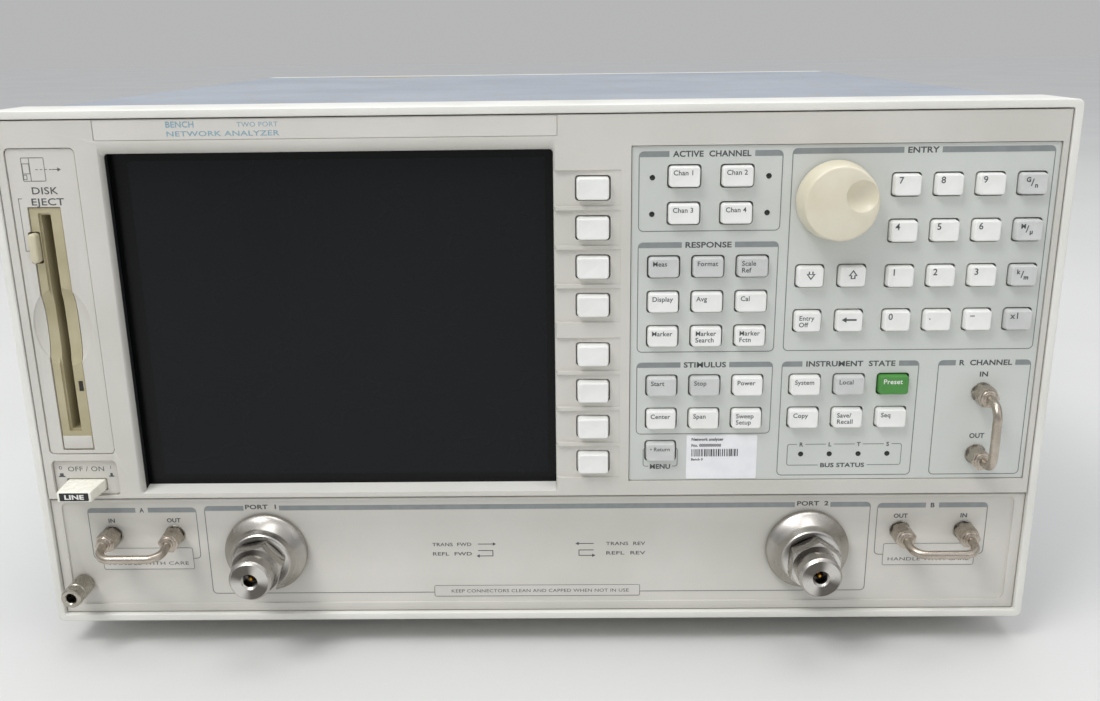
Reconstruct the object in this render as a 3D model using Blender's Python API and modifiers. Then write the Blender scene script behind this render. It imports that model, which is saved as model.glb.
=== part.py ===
"""Bench vector network analyzer in a full-width, five-unit cabinet, built piece by piece.

Units are metres, +Z is up and the front panel faces -Y. The origin is on the bench, under the
middle of the whole instrument. Every piece hangs on one empty, `instrument`, at the middle of the
front frame's lower front edge, so all places below are measured from there: x to the right, y back
into the cabinet, z up. A piece that moves has its own origin on its joint's axis.
"""
import math

import bmesh
import bpy
from mathutils import Matrix, Vector

MM = 0.001

# ---- cabinet ------------------------------------------------------------------------------------
WIDTH = 425 * MM
HEIGHT = 221.5 * MM
DEPTH = 426.5 * MM              # front frame's face to rear frame's face
FOOT_HEIGHT = 12.7 * MM
REAR_GUARD_REACH = 30 * MM
GAP = 0.3 * MM                  # left between pieces that touch
THROUGH = 20 * MM               # how far a cutter runs past what it cuts

RIM = 3.2 * MM                  # front frame's thin edge round the panels
RIM_DEPTH = 14 * MM
FRAME_WALL = 7 * MM
FRAME_DEPTH = 32.5 * MM
FRAME_CORNER = 2.5 * MM
REAR_FRAME_DEPTH = 12 * MM
REAR_FRAME_WALL = 9 * MM
COVER_DROP = 1.7 * MM           # covers lie this far inside the front frame's outline
SIDE_DROP = 0.8 * MM
SHEET = 1.5 * MM
COVER_FLANGE = 13 * MM

# ---- front panels -------------------------------------------------------------------------------
PANEL_FIT = 0.5 * MM            # gap between the frame's edge and the panels
UPPER_SET = 0.5 * MM            # the panels' faces stand this far behind the frame's face
UPPER_THICK = 4.0 * MM
LOWER_SET = 1.8 * MM
LOWER_THICK = 3.5 * MM
DIVIDER = 58.3 * MM             # height of the joint between upper and lower panel
POCKET = 0.8 * MM
PANEL_BACK = UPPER_SET + UPPER_THICK
OVERLAY_THICK = 1.5 * MM
OVERLAY_FACE = UPPER_SET + POCKET
LEDGE = 3 * MM                  # what carries the overlay's edge

LEFT = -WIDTH / 2
RIGHT = WIDTH / 2
PANEL_HALF = WIDTH / 2 - RIM - PANEL_FIT
PANEL_TOP = HEIGHT - RIM - PANEL_FIT

# keypad overlay: its outline, then places measured from its upper left corner
KEYPAD_LEFT = RIGHT - 172.6 * MM
KEYPAD_RIGHT = RIGHT - 6.1 * MM
KEYPAD_TOP = HEIGHT - 15.8 * MM
KEYPAD_BOTTOM = DIVIDER + 6.8 * MM

MAIN_KEY = (12.7 * MM, 8.7 * MM)
ENTRY_KEY = (11.8 * MM, 9.4 * MM)
SOFT_KEY = (13.4 * MM, 9.4 * MM)
KEY_PROUD = 3.0 * MM
KEY_TRAVEL = 1.5 * MM
KEY_TAPER = 0.5 * MM            # a key's face is this much smaller than its foot, on each side
KEY_CORNER = 1.2 * MM
KEY_CLEARANCE = 0.35 * MM
WEB_FRONT = PANEL_BACK + 0.5 * MM
WEB_THICK = 1.2 * MM
WEB_MARGIN = 1.5 * MM
MAIN_PITCH = 17.7 * MM
STATE_PITCH = 18.1 * MM
ENTRY_PITCH = 16.05 * MM
ENTRY_ROW = 18.1 * MM
CHANNEL_PITCH = 20.7 * MM

MAIN_X = KEYPAD_LEFT + 13.3 * MM
CHANNEL_X = KEYPAD_LEFT + 20.8 * MM
CHANNEL_Z = KEYPAD_TOP - 12.1 * MM
RETURN_Z = KEYPAD_BOTTOM + 13.7 * MM
CHANNEL_ROOM = 0.2 * MM         # the rooms are what these rows have beyond the common row pitch
RESPONSE_ROOM = 7.0 * MM
STIMULUS_ROOM = 6.8 * MM
ROW_STEPS = 7                   # from the upper channel keys down to the return key
MAIN_ROW = (CHANNEL_Z - RETURN_Z - CHANNEL_ROOM - RESPONSE_ROOM - STIMULUS_ROOM) / ROW_STEPS
CHANNEL_ROW = MAIN_ROW + CHANNEL_ROOM
RESPONSE_Z = CHANNEL_Z - CHANNEL_ROW - MAIN_ROW - RESPONSE_ROOM
STIMULUS_Z = RETURN_Z + 2 * MAIN_ROW
STATE_X = KEYPAD_LEFT + 72.3 * MM
ENTRY_X = KEYPAD_LEFT + 107.9 * MM
ENTRY_Z = KEYPAD_TOP - 16.4 * MM
EDIT_X = ENTRY_X - 35.8 * MM
SOFT_X = KEYPAD_LEFT - 15.0 * MM
SOFT_Z = KEYPAD_TOP - 16.3 * MM
SOFT_LOWEST = KEYPAD_BOTTOM + 9.05 * MM
SOFT_BREAK = 5.0 * MM           # extra room between the fourth and fifth softkey
SOFT_COUNT = 8
SOFT_PITCH = (SOFT_Z - SOFT_LOWEST - SOFT_BREAK) / (SOFT_COUNT - 1)
TROUGH_LEFT = KEYPAD_LEFT - 30.6 * MM
TROUGH_RIGHT = KEYPAD_LEFT - 3.9 * MM
TROUGH_WEB = 1.45 * MM          # left standing between two troughs
TROUGH_HEIGHT = SOFT_PITCH - TROUGH_WEB
TROUGH_DEPTH = 1.7 * MM

BOARD_FRONT = WEB_FRONT + WEB_THICK + KEY_TRAVEL + 0.7 * MM
BOARD_THICK = 1.6 * MM

KNOB_X = KEYPAD_LEFT + 80.2 * MM
KNOB_Z = KEYPAD_TOP - 21.9 * MM
KNOB_RADIUS = 15.7 * MM
KNOB_FACE_RADIUS = 14.2 * MM
KNOB_HEIGHT = 12 * MM
KNOB_DIMPLE = 6.2 * MM
KNOB_DIMPLE_PLACE = (7.7 * MM, 2.9 * MM)
SHAFT_RADIUS = 3.0 * MM
SHAFT_FIT = 0.35 * MM

# display
GLASS_LEFT = LEFT + 43.0 * MM
GLASS_RIGHT = KEYPAD_LEFT - 30.6 * MM
GLASS_BOTTOM = DIVIDER + 2.5 * MM
GLASS_TOP = HEIGHT - 16.4 * MM
LIP_ROUND = 2.2 * MM
BEZEL_FRONT = PANEL_BACK + GAP
BEZEL_DEPTH = 3.4 * MM
BEZEL_STEP = 0.5 * MM
BEZEL_WALL = 3.5 * MM
WINDOW_THICK = 2 * MM
WINDOW_FRONT = BEZEL_FRONT + BEZEL_DEPTH + GAP
LCD_THICK = 13 * MM
LABEL_DEPTH = 0.5 * MM
LABEL_BOTTOM = HEIGHT - 11.8 * MM
LABEL_OVERHANG = 2 * MM

# disk drive and line switch, measured from the left edge
DRIVE_LEFT = LEFT + 13.2 * MM
DRIVE_WIDE = 12.8 * MM          # a half-inch-high slim drive, stood on its side
DISK_X = DRIVE_LEFT + DRIVE_WIDE / 2
POCKET_X = LEFT + 21.0 * MM
POCKET_HALF = 14 * MM
DISK_POCKET_BOTTOM = DIVIDER + 20.7 * MM
DISK_POCKET_TOP = HEIGHT - 14.1 * MM
DISK_POCKET = 0.5 * MM
DRIVE_BOTTOM = DIVIDER + 22.9 * MM
DRIVE_TALL = 102.7 * MM
DRIVE_LONG = 126 * MM
DRIVE_FACE = UPPER_SET + 1.1 * MM
DRIVE_FIT = 0.3 * MM
SLOT_X = DISK_X - 0.4 * MM
SLOT_WIDE = 3.8 * MM
SLOT_TALL = 90.8 * MM
SLOT_DEEP = 105 * MM
SCOOP_RADII = (12.9 * MM, 6.2 * MM, 17.9 * MM)
SCOOP_Y = -2 * MM
EJECT_X = DISK_X - 5.6 * MM
EJECT_Z = DRIVE_BOTTOM + 86.6 * MM
EJECT_SIZE = (3.9 * MM, 12.2 * MM)
EJECT_PROUD = 2.8 * MM
EJECT_TRAVEL = 5 * MM
EJECT_STEM_BACK = 12 * MM
LINE_X = LEFT + 20.75 * MM
LINE_Z = DIVIDER + 6.55 * MM
LINE_FOOT = (16.5 * MM, 4.8 * MM)
LINE_FACE = (14.3 * MM, 4.4 * MM)
LINE_PROUD = 12 * MM
LINE_TRAVEL = 4 * MM
LINE_STEM_BACK = 23.7 * MM
LINE_POCKET = 1.5 * MM
LINE_POCKET_LOW = DIVIDER + 1.7 * MM
LINE_POCKET_HIGH = DIVIDER + 18 * MM
BUTTON_FIT = 0.4 * MM

# lower panel: test ports, jacks and links
LOWER_BOTTOM = RIM + PANEL_FIT
LOWER_TOP = DIVIDER - 0.6 * MM
LOWER_POCKET_SIDE = 4.2 * MM
LOWER_POCKET_BOTTOM = LOWER_BOTTOM + 3.8 * MM
LOWER_FACE = LOWER_SET + POCKET
LOWER_BACK = LOWER_SET + LOWER_THICK
PORT_X = 117.3 * MM
PORT_Z = DIVIDER - 25.5 * MM
PORT_FLANGE = 17.8 * MM
PORT_CONE = 12.6 * MM
PORT_BODY = 12 * MM
PORT_CORE = 6.0 * MM
PORT_CONE_REACH = 9.0 * MM
PORT_REACH = 26 * MM
PORT_BORE = 2.7 * MM
PORT_PIN = 0.9 * MM
NUT_FLATS = 20 * MM
NUT_NECK = 9.3 * MM
NUT_HEX_LONG = 7.5 * MM
NUT_FIT = 0.3 * MM
PORT_BACK = 30 * MM
JACK_RADIUS = 3.1 * MM
JACK_REACH = 4 * MM
JACK_HOLE = 4.4 * MM
LINK_NUT_FLATS = 7.8 * MM
LINK_NUT_REACH = 8.5 * MM
LINK_REACH = 17 * MM
LINK_BEND = 6 * MM
LINK_RADIUS = 1.8 * MM
LINK_SPAN = 27.2 * MM
LINK_DROOP = 2 * MM
A_X = -170.5 * MM
B_X = 170.7 * MM
AB_Z = DIVIDER - 17.6 * MM
R_X = RIGHT - 27.0 * MM
R_Z = DIVIDER + 31.5 * MM
GROUND_X = LEFT + 13.0 * MM
GROUND_Z = 17.6 * MM
GROUND_RADIUS = 4.4 * MM
GROUND_REACH = 12 * MM
GROUND_BORE = 2.1 * MM

# underside
FOOT_WIDE = 38 * MM
FOOT_LONG = 52 * MM
FOOT_X = 160 * MM
FRONT_FOOT_Y = 66 * MM
REAR_FOOT_INSET = 50 * MM
STAND_WIRE = 2.1 * MM           # radius of the tilt stands' wire
STAND_FIT = 0.35 * MM
STAND_LEG = 62 * MM
STAND_BEND = 6 * MM
STAND_PIN = 4 * MM

# sides
RECESS_FRONT_ROOM = 58.2 * MM   # from the ends of the covers to the ends of the recess
RECESS_BACK_ROOM = 61.2 * MM
RECESS_TALL = 44 * MM
RECESS_DEEP = 8.5 * MM
STRAP_TALL = 26 * MM
STRAP_THICK = 3 * MM
STRAP_CAP_LONG = 26 * MM
STRAP_CAP_TALL = 32 * MM

# rear and inside
FAN_SIZE = 119 * MM
FAN_THICK = 25.4 * MM
FAN_WALL_ROOM = 12.4 * MM        # from the chassis wall to the fan's frame
FAN_Z = 118 * MM
FAN_DUCT = 55.5 * MM
FAN_HUB = 20 * MM
FAN_BLADES = 7
INLET_SIZE = (48 * MM, 28 * MM)
INLET_ROOM = 55 * MM            # from the supply's right side
INLET_Z = 45 * MM
PORTS_SIZE = (100 * MM, 24 * MM)
PORTS_X = -10 * MM
PORTS_Z = 172 * MM
CHASSIS_FRONT = 158 * MM
STRUT = (17 * MM, 9 * MM)
DECK_ROOM = 16.9 * MM           # from the chassis walls to the test set's deck
DECK_THICK = 2 * MM
COUPLER_HALF = 13 * MM
COUPLER_RISE = 12 * MM          # top of the couplers above the ports' axis
CARD_COUNT = 5
CARD_PITCH = 34 * MM
CARD_THICK = 2 * MM
FIRST_CARD = 20 * MM
CARD_DROP = 45 * MM             # top of the cards below the cabinet's top
BOARD_RIGHT = 40 * MM
BOARD_WALL_ROOM = 12 * MM
SUPPLY_WALL_ROOM = 21.9 * MM
SUPPLY_SIZE = (105 * MM, 150 * MM, 105 * MM)
INLET_SOCKET = (24 * MM, 17 * MM)

FRONT_Y = -(DEPTH + REAR_GUARD_REACH - PORT_REACH) / 2
REAR_FRAME_FRONT = DEPTH - REAR_FRAME_DEPTH
COVER_FRONT = FRAME_DEPTH + GAP
COVER_BACK = REAR_FRAME_FRONT - GAP
SIDE_FACE = WIDTH / 2 - SIDE_DROP           # the covers' outer side faces
SIDE_WALL = SIDE_FACE - SHEET - GAP         # outer face of the side covers, inside the flanges
RECESS_NEAR = COVER_FRONT + RECESS_FRONT_ROOM
RECESS_FAR = COVER_BACK - RECESS_BACK_ROOM
RECESS_Z = HEIGHT / 2
RECESS_FLOOR = SIDE_WALL - RECESS_DEEP
CHASSIS_HALF = RECESS_FLOOR - SHEET - 3 * MM
REAR_PANEL_Y = REAR_FRAME_FRONT + 4 * MM
FAN_X = -CHASSIS_HALF + FAN_WALL_ROOM + FAN_SIZE / 2
SUPPLY_RIGHT = CHASSIS_HALF - SUPPLY_WALL_ROOM
INLET_X = SUPPLY_RIGHT - INLET_ROOM


# ---- scene, materials and placing ---------------------------------------------------------------
def clear_scene():
    for old in list(bpy.data.objects):
        bpy.data.objects.remove(old, do_unlink=True)


def new_collection(name):
    collection = bpy.data.collections.new(name)
    bpy.context.scene.collection.children.link(collection)
    return collection


def to_linear(channel):
    return channel / 12.92 if channel <= 0.04045 else ((channel + 0.055) / 1.055) ** 2.4


def finish(name, colour, roughness, metallic=0.0):
    """A plain surface finish; colour is an sRGB hex value."""
    material = bpy.data.materials.new(name)
    material.use_nodes = True
    shader = material.node_tree.nodes["Principled BSDF"]
    channels = [to_linear(((colour >> shift) & 255) / 255) for shift in (16, 8, 0)]
    shader.inputs["Base Color"].default_value = (*channels, 1.0)
    shader.inputs["Roughness"].default_value = roughness
    shader.inputs["Metallic"].default_value = metallic
    return material


clear_scene()
PARTS = new_collection("vector_network_analyzer")
CUTTERS = new_collection("cutters")
INSTRUMENT = bpy.data.objects.new("instrument", None)
INSTRUMENT.location = (0, FRONT_Y, FOOT_HEIGHT)
PARTS.objects.link(INSTRUMENT)

FRAME_PAINT = finish("frame_paint", 0xE6E5DF, 0.45)
PANEL_PAINT = finish("panel_paint", 0xCDCBC4, 0.55)
OVERLAY_FILM = finish("overlay_film", 0xC4C9C2, 0.5)
COVER_PAINT = finish("cover_paint", 0xA9B0B8, 0.6)
KEY_WHITE = finish("key_white", 0xECECE8, 0.5)
KEY_GREY = finish("key_grey", 0xB9BBB8, 0.5)
KEY_GREEN = finish("key_green", 0x4F8F45, 0.5)
KNOB_CREAM = finish("knob_cream", 0xDAD4BF, 0.4)
DRIVE_TAN = finish("drive_tan", 0xAFA57F, 0.6)
IVORY = finish("ivory_button", 0xF1F0E6, 0.4)
GLASS = finish("display_glass", 0x14171B, 0.12)
STEEL = finish("stainless_steel", 0xA7A29C, 0.28, 1.0)
LINK_METAL = finish("tinned_copper", 0x9C9286, 0.35, 1.0)
BOARD_GREEN = finish("circuit_board", 0x2F6B45, 0.6)
SHEET_METAL = finish("plated_sheet", 0xB7BAB4, 0.4, 1.0)
FOOT_PLASTIC = finish("foot_plastic", 0x6E7073, 0.7)
BLACK_PLASTIC = finish("black_plastic", 0x1C1D1F, 0.6)


def place(obj, material, location, rotation=(0, 0, 0), cutter=False):
    obj.location = location
    obj.rotation_euler = rotation
    obj.parent = INSTRUMENT
    if material:
        obj.data.materials.append(material)
    (CUTTERS if cutter else PARTS).objects.link(obj)
    if cutter:
        obj.hide_render = True
        obj.display_type = "WIRE"
    return obj


def object_from(bm, name, material, location, rotation=(0, 0, 0), cutter=False):
    mesh = bpy.data.meshes.new(name)
    bm.to_mesh(mesh)
    bm.free()
    return place(bpy.data.objects.new(name, mesh), material, location, rotation, cutter)


# ---- shapes -------------------------------------------------------------------------------------
def add_block(bm, low, high, corner=0.0, steps=1, taper=0.0, around=Vector()):
    """A box between two corners. `corner` rounds its edges along y, `taper` narrows its front."""
    low = Vector(low) - around
    high = Vector(high) - around
    size = high - low
    matrix = Matrix.Translation((low + high) / 2) @ Matrix.Diagonal((*size, 1))
    verts = bmesh.ops.create_cube(bm, size=1, matrix=matrix)["verts"]
    front = [v for v in verts if v.co.y < (low.y + high.y) / 2]
    if taper:
        middle = (low + high) / 2
        for vert in front:
            vert.co.x += math.copysign(taper, middle.x - vert.co.x)
            vert.co.z += math.copysign(taper, middle.z - vert.co.z)
    if corner:
        edges = {e for v in verts for e in v.link_edges}
        along = [e for e in edges if abs((e.verts[0].co - e.verts[1].co).y) > size.y / 2]
        bmesh.ops.bevel(bm, geom=along, offset=corner, segments=steps, profile=0.5, affect="EDGES")


def block(name, low, high, material=None, corner=0.0, steps=1, taper=0.0, edge=0.0):
    """A box as its own object, its origin at its middle; `edge` bevels what is still sharp."""
    middle = (Vector(low) + Vector(high)) / 2
    bm = bmesh.new()
    add_block(bm, low, high, corner, steps, taper, middle)
    obj = object_from(bm, name, material, middle, cutter=material is None)
    if edge:
        soften(obj, edge)
    return obj


def blocks(name, spans, **shape):
    """Several separate boxes in one cutting or joining object."""
    bm = bmesh.new()
    for low, high in spans:
        add_block(bm, low, high, **shape)
    return object_from(bm, name, None, (0, 0, 0), cutter=True)


def soften(obj, width, segments=1):
    bevel = obj.modifiers.new("soft_edges", "BEVEL")
    bevel.width = width
    bevel.segments = segments
    bevel.limit_method = "ANGLE"
    bevel.angle_limit = math.radians(40)


def cut(obj, *cutters):
    for cutter in cutters:
        boolean = obj.modifiers.new("cut_" + cutter.name, "BOOLEAN")
        boolean.operation = "DIFFERENCE"
        boolean.object = cutter
    return obj


def fuse(obj, *pieces):
    for piece in pieces:
        boolean = obj.modifiers.new("fuse_" + piece.name, "BOOLEAN")
        boolean.operation = "UNION"
        boolean.object = piece
    return obj


TO_FRONT = (math.pi / 2, 0, 0)      # turns a turned shape's axis from +Z to -Y


def turned(name, profile, material, location, rotation=TO_FRONT, steps=24):
    """A turned piece. The profile is (radius, height) points, down the outer side from the top."""
    bm = bmesh.new()
    verts = [bm.verts.new((radius, 0, height)) for radius, height in profile]
    for first, second in zip(verts, verts[1:]):
        bm.edges.new((first, second))
    if profile[0][0] > 0:
        bm.edges.new((verts[-1], verts[0]))
    obj = object_from(bm, name, material, location, rotation, cutter=material is None)
    screw = obj.modifiers.new("turn", "SCREW")
    screw.steps = steps
    screw.render_steps = steps
    screw.use_merge_vertices = True
    screw.merge_threshold = 0.00001
    return obj


def rod(name, radius, back, front, x, z, material=None, steps=16, sides_turn=0.0):
    """A straight round rod along y from `front` to `back`; six steps make a hexagon."""
    bm = bmesh.new()
    bmesh.ops.create_cone(bm, cap_ends=True, segments=steps, radius1=radius, radius2=radius,
                          depth=back - front)
    rotation = (math.pi / 2, sides_turn, 0)
    return object_from(bm, name, material, (x, (front + back) / 2, z), rotation,
                       cutter=material is None)


def rods(name, radius, back, front, places, steps=12):
    """Separate rods along y in one cutting or joining object."""
    bm = bmesh.new()
    turn = Matrix.Rotation(math.pi / 2, 4, "X")
    for x, z in places:
        matrix = Matrix.Translation((x, (front + back) / 2, z)) @ turn
        bmesh.ops.create_cone(bm, cap_ends=True, segments=steps, radius1=radius, radius2=radius,
                              depth=back - front, matrix=matrix)
    return object_from(bm, name, None, (0, 0, 0), cutter=True)


def arc(centre, start, end, radius, across, forward, count=5):
    """Points on a quarter bend, in the plane of the two directions."""
    points = []
    for step in range(count + 1):
        angle = start + (end - start) * step / count
        points.append(centre + across * (radius * math.cos(angle))
                      + forward * (radius * math.sin(angle)))
    return points


def staple(start, end, reach, bend, away, droop=Vector()):
    """A U-shaped route: from start straight away, across with two round bends, back to end."""
    across = (end - start).normalized()
    quarter = math.pi / 2
    near = start + away * (reach - bend) + across * bend
    far = end + away * (reach - bend) - across * bend
    points = [start]
    points += arc(near, 2 * quarter, quarter, bend, across, away)
    points += arc(far, quarter, 0, bend, across, away)
    points.append(end)
    return [point + droop * min(1, (point - start).dot(away) / reach) for point in points]


def tube(name, points, radius, material):
    """A round wire or tube through the points, made a closed mesh so that it can be joined."""
    curve = bpy.data.curves.new(name, "CURVE")
    curve.dimensions = "3D"
    curve.bevel_depth = radius
    curve.bevel_resolution = 2
    curve.use_fill_caps = True
    spline = curve.splines.new("POLY")
    spline.points.add(len(points) - 1)
    for point, place_at in zip(spline.points, points):
        point.co = (*place_at, 1)
    wire = bpy.data.objects.new(name + "_curve", curve)
    CUTTERS.objects.link(wire)
    graph = bpy.context.evaluated_depsgraph_get()
    mesh = bpy.data.meshes.new_from_object(wire.evaluated_get(graph))
    bm = bmesh.new()
    bm.from_mesh(mesh)
    bmesh.ops.remove_doubles(bm, verts=bm.verts, dist=0.00001)
    bpy.data.objects.remove(wire)
    return object_from(bm, name, material, (0, 0, 0), cutter=material is None)


# ---- cabinet ------------------------------------------------------------------------------------
def front_frame():
    frame = block("front_frame", (LEFT, 0, 0), (RIGHT, FRAME_DEPTH, HEIGHT), FRAME_PAINT,
                  corner=FRAME_CORNER, steps=2, edge=0.8 * MM)
    rim = block("front_opening", (LEFT + RIM, -THROUGH, RIM),
                (RIGHT - RIM, RIM_DEPTH, HEIGHT - RIM))
    through = block("frame_opening", (LEFT + FRAME_WALL, 0, FRAME_WALL),
                    (RIGHT - FRAME_WALL, FRAME_DEPTH + THROUGH, HEIGHT - FRAME_WALL))
    cut(frame, rim, through)


def rear_frame():
    frame = block("rear_frame", (-SIDE_FACE, REAR_FRAME_FRONT, COVER_DROP),
                  (SIDE_FACE, DEPTH, HEIGHT - COVER_DROP), FRAME_PAINT,
                  corner=FRAME_CORNER, steps=2)
    inside = SIDE_FACE - REAR_FRAME_WALL
    low = COVER_DROP + REAR_FRAME_WALL
    opening = block("rear_opening", (-inside, REAR_FRAME_FRONT - THROUGH, low),
                    (inside, DEPTH + THROUGH, HEIGHT - low))
    cut(frame, opening)


def cover(name, outer_z, inward):
    """A folded sheet over the top or bottom, with a flange down each side."""
    flange_z = outer_z + inward * COVER_FLANGE
    inner_z = outer_z + inward * SHEET
    past_z = flange_z + inward * THROUGH
    outer = block(name, (-SIDE_FACE, COVER_FRONT, min(outer_z, flange_z)),
                  (SIDE_FACE, COVER_BACK, max(outer_z, flange_z)), COVER_PAINT,
                  corner=1.2 * MM)
    inner = block(name + "_inside",
                  (SHEET - SIDE_FACE, COVER_FRONT - THROUGH, min(inner_z, past_z)),
                  (SIDE_FACE - SHEET, COVER_BACK + THROUGH, max(inner_z, past_z)))
    cut(outer, inner)


def side_cover(name, side):
    """A flat side sheet with a pressed-in recess for the strap handle."""
    low_z = COVER_DROP + SHEET + GAP
    high_z = HEIGHT - low_z
    plate = side_block(name, side, SIDE_WALL - SHEET, SIDE_WALL, COVER_FRONT, COVER_BACK,
                       low_z, high_z, COVER_PAINT)
    tub = side_block(name + "_tub", side, RECESS_FLOOR - SHEET, SIDE_WALL - SHEET / 2,
                     RECESS_NEAR - SHEET, RECESS_FAR + SHEET,
                     RECESS_Z - RECESS_TALL / 2 - SHEET, RECESS_Z + RECESS_TALL / 2 + SHEET)
    hollow = side_block(name + "_hollow", side, RECESS_FLOOR, SIDE_WALL + THROUGH,
                        RECESS_NEAR, RECESS_FAR,
                        RECESS_Z - RECESS_TALL / 2, RECESS_Z + RECESS_TALL / 2)
    cut(fuse(plate, tub), hollow)


def side_block(name, side, inner, outer, front, back, low, high, material=None, **shape):
    """A box on the left (-1) or right (+1), between two distances from the middle."""
    x_low, x_high = sorted((side * inner, side * outer))
    return block(name, (x_low, front, low), (x_high, back, high), material, **shape)


def strap_handle(name, side):
    """A flat strap across the recess, in two end caps that are screwed to its floor."""
    ends = (RECESS_NEAR + GAP, RECESS_FAR - GAP)
    strap = side_block(name, side, SIDE_WALL - STRAP_THICK, SIDE_WALL,
                       ends[0] + STRAP_CAP_LONG / 2, ends[1] - STRAP_CAP_LONG / 2,
                       RECESS_Z - STRAP_TALL / 2, RECESS_Z + STRAP_TALL / 2, BLACK_PLASTIC)
    caps = []
    for near in (ends[0], ends[1] - STRAP_CAP_LONG):
        caps.append(side_block(f"{name}_cap_{len(caps)}", side, RECESS_FLOOR + GAP,
                               SIDE_WALL + 0.6 * MM, near, near + STRAP_CAP_LONG,
                               RECESS_Z - STRAP_CAP_TALL / 2, RECESS_Z + STRAP_CAP_TALL / 2,
                               edge=1.2 * MM))
    fuse(strap, *caps)


def foot(name, x, y, pivots=False):
    top = COVER_DROP - GAP
    body = block(name, (x - FOOT_WIDE / 2, y - FOOT_LONG / 2, -FOOT_HEIGHT),
                 (x + FOOT_WIDE / 2, y + FOOT_LONG / 2, top), FOOT_PLASTIC, edge=1.5 * MM)
    if pivots:
        bm = bmesh.new()
        turn = Matrix.Rotation(math.pi / 2, 4, "Y")
        for side in (-1, 1):
            deep = STAND_PIN + GAP
            middle = Vector((side * (FOOT_WIDE / 2 + THROUGH / 2 - deep / 2), 0, 0))
            bmesh.ops.create_cone(bm, cap_ends=True, segments=12,
                                  radius1=STAND_WIRE + STAND_FIT, radius2=STAND_WIRE + STAND_FIT,
                                  depth=THROUGH + deep, matrix=Matrix.Translation(middle) @ turn)
        holes = object_from(bm, name + "_holes", None, stand_pivot(x), cutter=True)
        cut(body, holes)


def stand_pivot(x):
    return Vector((x, FRONT_FOOT_Y - FOOT_LONG / 2 + 9 * MM, -FOOT_HEIGHT / 2))


def tilt_stand(name, x):
    """A wire bail: two inward pins in the foot's holes, two legs and a bar behind the foot."""
    pivot = stand_pivot(x)
    leg_x = FOOT_WIDE / 2 + STAND_WIRE + 1.2 * MM
    pin_x = FOOT_WIDE / 2 - STAND_PIN
    back = Vector((0, 1, 0))
    elbow = 2.5 * MM
    legs = staple(Vector((-leg_x, elbow, 0)), Vector((leg_x, elbow, 0)), STAND_LEG - elbow,
                  STAND_BEND, back)
    route = [Vector((-pin_x, 0, 0)), Vector((-leg_x + elbow, 0, 0)),
             Vector((-leg_x + elbow * 0.3, elbow * 0.3, 0)), *legs,
             Vector((leg_x - elbow * 0.3, elbow * 0.3, 0)), Vector((leg_x - elbow, 0, 0)),
             Vector((pin_x, 0, 0))]
    wire = tube(name, route, STAND_WIRE, STEEL)
    wire.location = pivot


def rear_guard(name, side):
    """An upright guard with two standoffs, so that the instrument can stand on its back."""
    outer = SIDE_FACE - 2 * MM
    inner = outer - 15 * MM
    low = COVER_DROP + 6 * MM
    upright = side_block(name, side, inner, outer, DEPTH + GAP, DEPTH + 8 * MM, low, HEIGHT - low,
                         FOOT_PLASTIC, edge=1.0 * MM)
    standoffs = [side_block(f"{name}_standoff_{end}", side, inner + 1 * MM, outer - 1 * MM,
                            DEPTH + 4 * MM, DEPTH + REAR_GUARD_REACH, z, z + 22 * MM,
                            edge=1.0 * MM)
                 for end, z in (("low", low + 4 * MM), ("high", HEIGHT - low - 26 * MM))]
    fuse(upright, *standoffs)


def rear_panel():
    inset = REAR_FRAME_WALL + GAP
    half = SIDE_FACE - inset
    low = COVER_DROP + inset
    panel = block("rear_panel", (-half, REAR_PANEL_Y, low),
                  (half, REAR_PANEL_Y + SHEET, HEIGHT - low), SHEET_METAL)
    back = REAR_PANEL_Y + THROUGH
    front = REAR_PANEL_Y - THROUGH
    fan_hole = rod("fan_hole", FAN_DUCT, back, front, FAN_X, FAN_Z, steps=32)
    windows = blocks("rear_windows", [
        window_span(INLET_X, INLET_Z, INLET_SIZE, front, back),
        window_span(PORTS_X, PORTS_Z, PORTS_SIZE, front, back)])
    cut(panel, fan_hole, windows)


def window_span(x, z, size, front, back, grow=GAP):
    half_x = size[0] / 2 + grow
    half_z = size[1] / 2 + grow
    return (x - half_x, front, z - half_z), (x + half_x, back, z + half_z)


# ---- front panels -------------------------------------------------------------------------------
def soft_key_places():
    places = []
    for index in range(SOFT_COUNT):
        drop = SOFT_PITCH * index + (SOFT_BREAK if index >= SOFT_COUNT // 2 else 0)
        places.append((SOFT_X, SOFT_Z - drop))
    return places


def grid(x, z, columns, rows, pitch, row):
    """Key centres, row by row from the upper left."""
    return [(x + pitch * c, z - row * r) for r in range(rows) for c in range(columns)]


RESPONSE_KEYS = grid(MAIN_X, RESPONSE_Z, 3, 3, MAIN_PITCH, MAIN_ROW)
STIMULUS_KEYS = grid(MAIN_X, STIMULUS_Z, 3, 2, MAIN_PITCH, MAIN_ROW)
RETURN_KEY = [(MAIN_X, RETURN_Z)]
CHANNEL_KEYS = grid(CHANNEL_X, CHANNEL_Z, 2, 2, CHANNEL_PITCH, CHANNEL_ROW)
STATE_GRID = grid(STATE_X, STIMULUS_Z, 3, 2, STATE_PITCH, MAIN_ROW)
PRESET_KEY = [STATE_GRID[2]]
STATE_KEYS = STATE_GRID[:2] + STATE_GRID[3:]
ENTRY_KEYS = grid(ENTRY_X, ENTRY_Z, 4, 4, ENTRY_PITCH, ENTRY_ROW)
EDIT_KEYS = grid(EDIT_X, ENTRY_Z - 2 * ENTRY_ROW, 2, 2, ENTRY_PITCH, ENTRY_ROW)
R_JACKS = [(R_X, R_Z - LINK_SPAN / 2), (R_X, R_Z + LINK_SPAN / 2)]
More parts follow.
